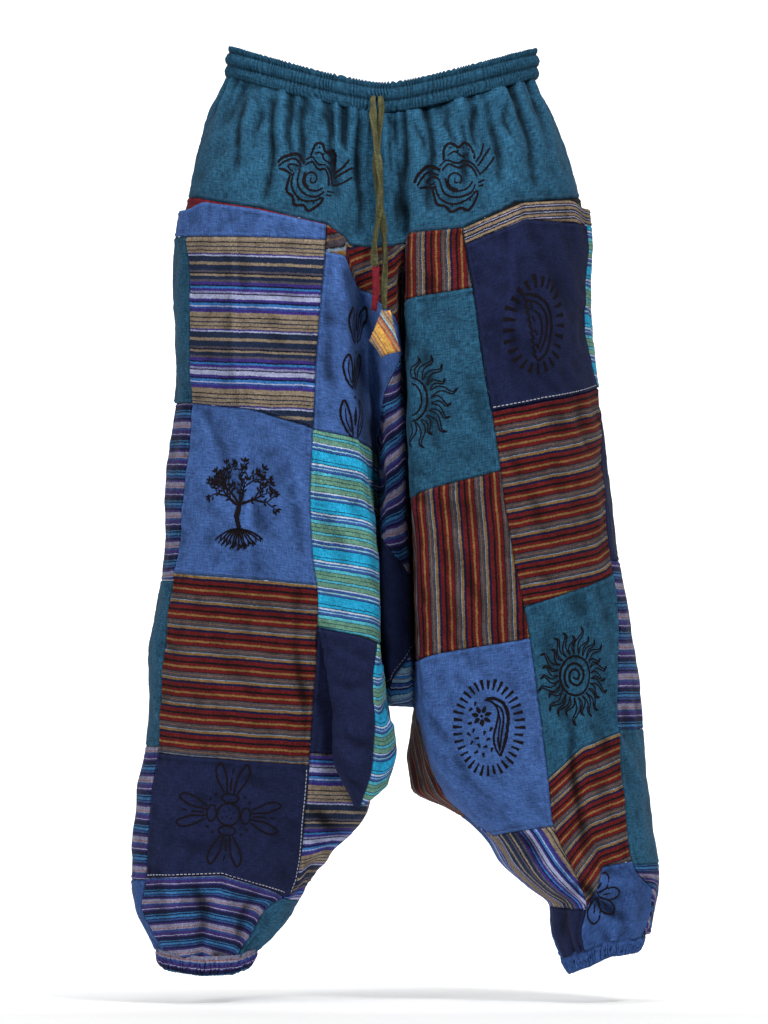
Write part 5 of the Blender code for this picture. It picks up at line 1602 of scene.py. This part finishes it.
def vajra_print():
    """Crossed thunderbolt: hub, four collars and three prongs on each arm."""
    strokes = [(ring_line(0, 0, 11, 11), 1.5, "line")]
    strokes += [dot(x, y, 1.8) for x, y in ((-4, 3), (1, 5), (5, 1), (-2, -2), (3, -4), (-6, -3))]
    for quarter in range(4):
        angle = 90 * quarter - 6
        parts = [(ring_line(16.5, 0, 4.6, 8.2), 1.4, "line")]
        for side in (-1, 1):
            prong = [(x, y * side) for x, y in PRONG]
            parts.append((curve(*prong), 1.6, "line"))
            parts.append(dot(19, 14 * side, 3.0))
        parts.append((curve((24, 0), (32, 0.4), (37, 0)), 1.4, "line"))
        parts.append((curve((41, 0), (47, -0.4)), 1.3, "line"))
        parts.append(dot(27.5, 0.5, 2.2))
        strokes += [(turned(line, angle), width, shape) for line, width, shape in parts]
    return strokes


def wavy_rays(count, inner, outer, first=0.0, last=360.0, squash=1.0):
    """Sun's rays: pairs of wavy lines that meet at the tip."""
    strokes = []
    for k in range(count):
        angle = first + (last - first) * k / count
        reach = outer * (0.93 + 0.10 * math.sin(k * 2.4))
        for side in (-1, 1):
            share = np.linspace(0, 1, 16)
            radii = inner + (reach - inner) * share
            spread_angle = side * (1.0 - share) * 2.4 / inner
            wave = 0.10 * np.sin(2 * math.pi * share * 0.95) * (0.4 + share)
            angles = math.radians(angle) + spread_angle + wave
            line = np.stack([radii * np.cos(angles) * squash, radii * np.sin(angles)], axis=-1)
            strokes.append((line, 1.15, "line"))
        strokes.append((line[-4:], 2.4, "leaf"))
    return strokes


def spiral_sun_print():
    """Spiral sun with wavy rays."""
    return ([(ring_line(0, 0, 18.5, 18.5), 2.0, "line"), (spiral_line(0, 0, 2, 14, 2.1, 200), 2.1, "line")]
            + wavy_rays(25, 20.5, 46))


def half_sun_print():
    """Right half of a sun: two arcs and wavy rays."""
    arcs = [(ring_line(0, 0, 15, 19, -88, 88), 1.8, "line"),
            (ring_line(0, 0, 10, 14, -88, 88), 1.5, "line")]
    return arcs + wavy_rays(11, 20, 45, -86, 100, 0.95)


def dash_ring(count, across, up, long, wide, draw):
    """Short dashes that stand out from an ellipse."""
    strokes = []
    for k in range(count):
        angle = 2 * math.pi * k / count
        base = np.array((across * math.cos(angle), up * math.sin(angle)))
        way = np.array((math.cos(angle) / across, math.sin(angle) / up))
        way = way / np.linalg.norm(way)
        size = long * draw.uniform(0.85, 1.12)
        strokes.append((np.array([base, base + way * size * 0.5, base + way * size]),
                        wide * draw.uniform(0.85, 1.1), "wedge"))
    return strokes


def flower_paisley_print():
    """Mango drop and flower inside a ring of dashes."""
    draw = np.random.default_rng(4)
    strokes = dash_ring(36, 28.5, 41, 10.5, 3.3, draw)
    strokes.append((curve((-2, 31), (8, 31), (17, 25), (21.5, 12), (20, -6), (17, -20), (13, -31)), 2.8,
                    "line"))
    strokes.append((curve((-4, 30), (6, 26), (11, 16), (9, 3), (6, -10), (8, -22), (13, -31)), 1.8, "line"))
    strokes.append((curve((4, 27), (14, 20), (16.5, 8), (14.5, -6), (13, -22)), 1.6, "line"))
    strokes.append((curve((10, 19), (13, 8), (11.5, -4), (11, -16)), 1.3, "line"))
    strokes += [(curve((11.5 + k, -14 - 2 * k), (12.2 + k * 0.6, -20), (12.6, -26)), 0.9,
                 "line") for k in (-2, 0, 2)]
    for k in range(7):
        angle = 2 * math.pi * k / 7 + 0.3
        away = np.array((math.cos(angle), math.sin(angle)))
        strokes.append((np.array([(-7, 12) + away * r for r in (3.2, 7.0, 11.5)]), 4.4, "leaf"))
    strokes.append(dot(-7, 12, 3.8))
    for x, y, angle in ((-20, 4, 20), (-16, -4, 70), (-21, -8, 140), (-12, -12, 10), (-4, -6, 80),
                        (0, -13, 30),
                        (-18, -17, 60), (-10, -20, 120), (-3, -21, 15), (4, -24, 70), (-13, -27,
                                                                                       30), (-5, -30, 100),
                        (-19, 19, 40), (-14, 25, 80), (3, -2, 60)):
        away = np.array((math.cos(math.radians(angle)), math.sin(math.radians(angle))))
        strokes.append((np.array([(x, y) - away * 2.4, (x, y), (x, y) + away * 2.4]), 3.0, "wedge"))
    return strokes


def moon_paisley_print():
    """Crescent drop inside a ring of broad dashes."""
    draw = np.random.default_rng(9)
    strokes = dash_ring(25, 22, 33, 10.5, 4.2, draw)
    strokes.append((curve((-13, 27), (-2, 25), (9, 17), (15, 4), (14, -12), (8, -25), (1, -31)), 2.4,
                    "line"))
    strokes.append((curve((-12, 22), (0, 18), (9, 6), (8.5, -10), (2, -24)), 1.9, "line"))
    strokes.append((curve((-9, 15), (1, 8), (4, -6), (0, -20)), 1.6, "line"))
    for k in range(9):
        y = 24 - 6 * k
        strokes.append((curve((-15 + 1.3 * k, y), (-12.6 + 1.4 * k, y - 3.5), (-11.5 + 1.5 * k, y - 6.5)),
                        1.7, "line"))
        if k % 2:
            strokes.append((curve((-10 + 1.2 * k, y + 2), (-7.5 + 1.3 * k, y - 3)), 1.5, "line"))
    return strokes


def conch_print(angle):
    """Conch shell: whorl, crown with spots, fluted mouth and tail."""
    parts = [(spiral_line(0, 0, 1.5, 10, 1.35, 150), 1.7, "line"),
             (curve((-15, 9), (-8, 16), (2, 13), (10, 17), (17, 11), (21, 3)), 1.8, "line"),
             (curve((-17, 14), (-10, 20), (0, 17.5), (9, 21), (18, 15), (25, 5)), 1.5, "line"),
             (curve((-13, 20), (-12, 33), (-5, 38), (2, 33), (8, 39), (15, 34), (19, 21)), 2.4, "line"),
             (curve((-9, 25), (-2, 29), (5, 25), (13, 28)), 1.5, "line"),
             (curve((-11, 2), (-8, -8), (0, -12), (10, -9), (16, -2)), 1.7, "line"),
             (curve((-17, 0), (-12, -13), (0, -18), (13, -14), (19, -5)), 1.7, "line"),
             (curve((-22, -4), (-17, -18), (-3, -25), (11, -20), (20, -11)), 1.7, "line"),
             (curve((-24, -9), (-20, -24), (-11, -27), (-5, -33), (4, -29), (12, -31), (20, -18),
                    (21, -11)), 2.4, "line"),
             (curve((-16, 10), (-28, 15), (-39, 5), (-43, -4)), 2.8, "line"),
             (curve((-18, 5), (-28, 9), (-36, 1), (-40, -7)), 1.8, "line"),
             (curve((-16, 0), (-24, 4), (-31, -1), (-25, -4), (-22, -1)), 1.6, "line"),
             (curve((-20, -8), (-30, -7), (-38, -9)), 2.0, "line"),
             (curve((20, 18), (27, 28), (31, 39)), 2.0, "line"), (curve((22, 14), (31, 25), (38, 34)), 1.8,
                                                                  "line"),
             (curve((25, 6), (35, 15), (42, 25)), 1.7, "line"), (curve((22, -3), (29, 0)), 1.5, "line"),
             (curve((22, -7), (28, -5)), 1.5, "line")]
    parts += [dot(x, y, 2.6) for x, y in ((-6, 33), (1, 29.5), (7, 33.5), (13, 31))]
    parts += [dot(x, y, 2.3) for x,
              y in ((-18, -15), (-12, -22), (-4, -27), (5, -24), (13, -21), (17, -13))]
    return [(turned(line, angle), width, shape) for line, width, shape in parts]


def leaf_print():
    """Pairs of leaves and petals down a stem, with spots between."""
    strokes = []
    for y, size in ((58, 1.0), (14, 0.9), (-34, 1.05)):
        for side in (-1, 1):
            strokes.append((curve((2 * side, y - 12), (9 * side, y - 4), (15 * side, y + 12),
                                  (11 * side, y + 24 * size),
                                  (5 * side, y + 10), (2 * side, y - 10)), 1.9, "line"))
            strokes.append((curve((4 * side, y - 6), (9 * side, y + 6), (10 * side, y + 17)), 1.1, "line"))
        strokes.append((np.array(((0, y), (0, y + 9), (0, y + 19))), 3.2, "leaf"))
        strokes.append(dot(0, y - 20, 3.4))
    return strokes


def cuff_flower_print():
    """Flower of open petals."""
    strokes = [(ring_line(0, 0, 5, 5), 1.4, "line")]
    for k in range(7):
        angle = 360 * k / 7 + 12
        petal = curve((6, -2), (14, -6.5), (23, -5), (27, 0), (22, 5.5), (13, 6), (6, 2.2))
        strokes.append((turned(petal, angle), 1.5, "line"))
        strokes.append((turned(curve((9, 0), (17, 0.5)), angle), 1.2, "line"))
    return strokes


# Each print: name, strokes, piece, middle across and down in millimetres, and its stretch each way
PRINTS = (
    ("tree", tree_print(), "left_blue_tree", -155.5, 476, 0.96, 1.0),
    ("vajra", vajra_print(), "left_navy_vajra", -167.1, 807, 1.1, 1.08),
    ("spiral_sun", spiral_sun_print(), "right_teal_sun", 206, 657.8, 0.92, 1.14),
    ("half_sun", half_sun_print(), "right_teal_half_sun", 29, 361, 1.2, 1.22),
    ("flower_paisley", flower_paisley_print(), "right_blue_paisley", 112.0, 713, 1.0, 1.0),
    ("moon_paisley", moon_paisley_print(), "right_pocket_panel", 162.0, 282, 1.12, 1.22),
    ("left_conch", conch_print(-28), "yoke_front", -77.0, 124, 0.95, 1.05),
    ("right_conch", conch_print(0), "yoke_front", 78.0, 125, 1.1, 1.05),
    ("leaves", leaf_print(), "centre_blue_leaf", -30, 352, 1.15, 1.1),
    ("cuff_flower", cuff_flower_print(), "right_blue_cuff_patch", 226.0, 897, 1.1, 1.1),
)


def node_range(node):
    """First and last station of a piece that carries a print."""
    if node == "yoke_front":
        return LO, RO
    row = next(row for row in PATCHES + POCKETS if row[0] == node)
    return row[1], row[2]


def cloth_places(node, across, up, middle_x, middle_drop):
    """Stations and drops of places measured over the cloth from a print's middle."""
    start, end = node_range(node)
    stations = np.linspace(start, end, 161)
    drops = middle_drop - up
    found = np.empty(len(drops))
    inside = np.ones(len(drops), bool)
    for first in range(0, len(drops), 800):
        rows = slice(first, first + 800)
        grid = cloth_at(stations[None, :], drops[rows, None])
        run = arc(grid, 1)
        for i, (line, xs) in enumerate(zip(run, grid[..., 0])):
            zero = np.interp(middle_x, xs, line)
            want = zero + across[first + i]
            found[first + i] = np.interp(want, line, stations)
            inside[first + i] = 1.2 < want < line[-1] - 1.2
    return found, drops, inside


def on_shell(node, stations, drops, lift):
    """Places on a piece's outer face, a little above it."""
    base, normal = frame_at(stations, drops)
    placed = np.full(base.shape, np.nan)
    for i, (point, way) in enumerate(zip(base, normal)):
        start = Vector(point + way * 34)
        hit, face, _, _ = SURFACES[node].ray_cast(start, Vector(-way), 70)
        if hit is not None:
            face = face if face.dot(Vector(way)) > 0 else -face
            placed[i] = hit + face * lift
    return placed


def ribbon(line, width, shape, draw):
    """Left edge, middle and right edge of a stroke, with worn edges."""
    lengths = arc(line, 0)
    count = max(int(lengths[-1] / STROKE_STEP) + 1, 4)
    at = np.linspace(0, lengths[-1], count)
    middle = np.stack([np.interp(at, lengths, line[:, i]) for i in (0, 1)], axis=-1)
    tangent = unit(np.gradient(middle, axis=0))
    side = np.stack([-tangent[:, 1], tangent[:, 0]], axis=-1)
    half = (INK_SPREAD if shape == "line" else 1.0) * width / 2 * SHAPES[shape](at / lengths[-1])
    worn = 0.14 if shape == "line" else 0.10
    left = half * (1 + worn * draw.standard_normal(count)) + 0.06 * draw.standard_normal(count)
    right = half * (1 + worn * draw.standard_normal(count)) + 0.06 * draw.standard_normal(count)
    return np.stack([middle + side * left[:, None], middle, middle - side * right[:, None]], axis=1)


def add_marks(name, node, ribbons, place, lift, material):
    """Mesh of many ribbons laid on a piece."""
    flat = np.concatenate([strip.reshape(-1, 2) for strip in ribbons])
    stations, drops, inside = place(flat)
    points = on_shell(node, stations, drops, lift)
    inside = inside & ~np.isnan(points[:, 0])
    points = np.nan_to_num(points)
    faces, first = [], 0
    for strip in ribbons:
        rows, columns = strip.shape[:2]
        for i in range(rows - 1):
            for j in range(columns - 1):
                quad = (first + i * columns + j, first + i * columns + j + 1,
                        first + (i + 1) * columns + j + 1, first + (i + 1) * columns + j)
                if inside[list(quad)].all():
                    faces.append(quad)
        first += rows * columns
    used = sorted({k for face in faces for k in face})
    order = {k: i for i, k in enumerate(used)}
    item = new_object(name, points[used], [tuple(order[k] for k in face) for face in faces], None, material)
    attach(item, BODY)
    return item


def add_prints():
    """Block prints laid on their cloths."""
    for name, strokes, node, x, drop, wide, tall in PRINTS:
        draw = np.random.default_rng(len(name))
        ribbons = [ribbon(line * (wide, tall), width, shape, draw) for line, width, shape in strokes]
        add_marks("print_" + name, node, ribbons,
                  lambda flat, node=node, x=x, drop=drop: cloth_places(node, flat[:, 0], flat[:, 1], x,
                                                                       drop),
                  PRINT_LIFT, INK)


STITCH_LENGTH = 2.7
STITCH_GAP = 1.7
STITCH_WIDTH = 0.55
STITCH_LIFT = 0.42
STITCH_INSET = 3.0


def add_stitches(name, node, stations, drops, material):
    """Row of stitches along places on a piece."""
    line = cloth_at(stations, drops)
    run = arc(line, 0)
    count = int(run[-1] / (STITCH_LENGTH + STITCH_GAP))
    strips = []
    for k in range(count):
        first = k * (STITCH_LENGTH + STITCH_GAP)
        at = np.linspace(first, first + STITCH_LENGTH, 4)
        s, d = np.interp(at, run, stations), np.interp(at, run, drops)
        speed = np.linalg.norm(cloth_at(s + 0.01, d) - cloth_at(s, d), axis=-1) / 0.01
        slope = abs(stations[-1] - stations[0]) * speed.mean() < abs(drops[-1] - drops[0])
        strip = []
        for side in (-0.5, 0.0, 0.5):
            off = side * STITCH_WIDTH
            strip.append(np.stack([s + off / speed, d] if slope else [s, d + off], axis=-1))
        strips.append(np.stack(strip, axis=1))
    return add_marks(name, node, strips, lambda flat: (flat[:, 0], flat[:, 1], np.ones(len(flat), bool)),
                     STITCH_LIFT, material)


# Stitch rows: piece, seam if not its own foot, offset down from it in millimetres, and thread
SEAM_STITCHES = (
    ("yoke_front", "yoke", -3.2, "tonal"),
    ("left_pocket_panel", "left_pocket_foot", -3.0, "tonal"),
    ("right_pocket_panel", "right_pocket_foot", -3.0, "pale"),
    ("left_navy_vajra", None, -3.0, "pale"),
    ("left_blue_tree", None, -2.6, "tonal"),
    ("left_red_stripe", None, -2.6, "tonal"),
    ("right_blue_paisley", None, -2.6, "tonal"),
    ("right_teal_sun", None, -2.6, "tonal"),
    ("gusset_navy", None, -6.0, "pale"),
    ("left_purple_cuff_patch", None, -2.2, "tonal"),
)


def add_seam_stitches():
    """Rows of stitches beside the seams where they show."""
    threads = {"tonal": TONAL_THREAD, "pale": PALE_THREAD}
    for node, seam, offset, thread in SEAM_STITCHES:
        start, end = node_range(node)
        foot = seam or next(row for row in PATCHES + POCKETS if row[0] == node)[4]
        stations = np.linspace(start, end, 90)[2:-2]
        drops = seam_line(foot)(stations) + offset
        add_stitches("stitches_" + node, node, stations, drops, threads[thread])
    start, end = node_range("left_navy_vajra")
    rows = np.linspace(0, 1, 60)[2:-2]
    row = next(row for row in PATCHES if row[0] == "left_navy_vajra")
    head, foot = seam_at(row[3], end), seam_at(row[4], end)
    drops = head + (foot - head) * rows
    near = np.full(len(drops), end - 0.001)
    speed = np.linalg.norm(cloth_at(near, drops) - cloth_at(near - 0.05, drops), axis=-1) / 0.05
    add_stitches("stitches_vajra_side", "left_navy_vajra", near - STITCH_INSET / speed, drops, PALE_THREAD)


# Camera: straight on at the middle of the garment, from far off
VIEW_DISTANCE = 12.0
VIEW_HEIGHT = 1.111
VIEW_DROP = 0.4817
SENSOR = 36.0
# Floor and the wall it sweeps up into, in metres
SWEEP_HALF_WIDTH = 1.5
FLOOR_GAP = 0.03
FLOOR_PLACES = (-0.7, -0.3, 0.2, 1.6)
SWEEP_RADIUS = 0.8
SWEEP_TOP = 1.6
WORLD_STRENGTH = 0.20
# Lights: name, place, aim, width and height in metres, and power
LIGHTS = (
    ("key", (1.3, -2.4, 1.9), (0, 0, -0.4), (0.8, 0.8), 78),
    ("fill", (-2.3, -2.3, 0.9), (0, 0, -VIEW_DROP), (1.0, 1.0), 48),
    ("top", (0.1, -0.8, 2.4), (0, 0, -VIEW_DROP), (1.2, 0.9), 30),
)


def add_camera():
    """Camera at the photograph's angle."""
    data = bpy.data.cameras.new("camera")
    data.sensor_width = SENSOR
    data.lens = SENSOR * VIEW_DISTANCE / VIEW_HEIGHT
    data.clip_end = 100
    camera = bpy.data.objects.new("camera", data)
    camera.location = (0, -VIEW_DISTANCE, -VIEW_DROP)
    camera.rotation_euler = (math.radians(90), 0, 0)
    bpy.context.scene.collection.objects.link(camera)
    bpy.context.scene.camera = camera


def add_light(name, place, target, size, power):
    """Large soft light aimed at a point."""
    data = bpy.data.lights.new(name, "AREA")
    data.shape = "RECTANGLE"
    data.size, data.size_y = size
    data.energy = power
    light = bpy.data.objects.new(name, data)
    light.location = place
    aim = Vector(target) - Vector(place)
    light.rotation_euler = aim.to_track_quat("-Z", "Y").to_euler()
    bpy.context.scene.collection.objects.link(light)


def add_stage():
    """Pale floor that sweeps up behind the garment, pale world and soft lights."""
    graph = Graph("pale_floor")
    graph.shader.inputs["Base Color"].default_value = (0.80, 0.80, 0.80, 1)
    graph.shader.inputs["Emission Color"].default_value = (1, 1, 1, 1)
    graph.shader.inputs["Roughness"].default_value = 0.9
    split = graph.add("SeparateXYZ")
    graph.put(graph.add("NewGeometry").outputs["Position"], split.inputs[0])
    graph.put(graph.stretch(split.outputs["Y"], -0.3, 0.5, 0.12, 0.66),
              graph.shader.inputs["Emission Strength"])
    floor, back = cad_box[0][2] - FLOOR_GAP, FLOOR_PLACES[-1]
    profile = [(y, floor) for y in FLOOR_PLACES]
    profile += [(back + SWEEP_RADIUS * math.sin(a), floor + SWEEP_RADIUS * (1 - math.cos(a)))
                for a in np.linspace(0.1, math.pi / 2, 14)]
    profile.append((back + SWEEP_RADIUS, SWEEP_TOP))
    points = [(x / MM, y / MM, z / MM) for y, z in profile for x in (-SWEEP_HALF_WIDTH, SWEEP_HALF_WIDTH)]
    faces = [(2 * i, 2 * i + 1, 2 * i + 3, 2 * i + 2) for i in range(len(profile) - 1)]
    sweep = new_object("pale_sweep", points, faces, None, graph.material)
    world = bpy.data.worlds.new("pale_world")
    world.use_nodes = True
    background = world.node_tree.nodes["Background"]
    background.inputs["Color"].default_value = (1, 1, 1, 1)
    background.inputs["Strength"].default_value = WORLD_STRENGTH
    bpy.context.scene.world = world
    for light in LIGHTS:
        add_light(*light)
    bpy.context.scene.view_settings.view_transform = "Standard"


add_camera()
maroon_tab = add_tab("tab_maroon", MAROON_TAB, MAROON_TAB_DEPTH, "maroon", 1.0)
yellow_tab = add_tab("tab_yellow", YELLOW_TAB, YELLOW_TAB_DEPTH, "yellow_stripe", 0.9)
add_cord("drawstring_short", SHORT_CORD, 0.7, 21)
add_cord("drawstring_long", LONG_CORD, 0.6, 22)
add_patches()
add_yoke()
add_rings()
add_gusset_turn()
add_pouch()
add_prints()
add_seam_stitches()
add_stage()
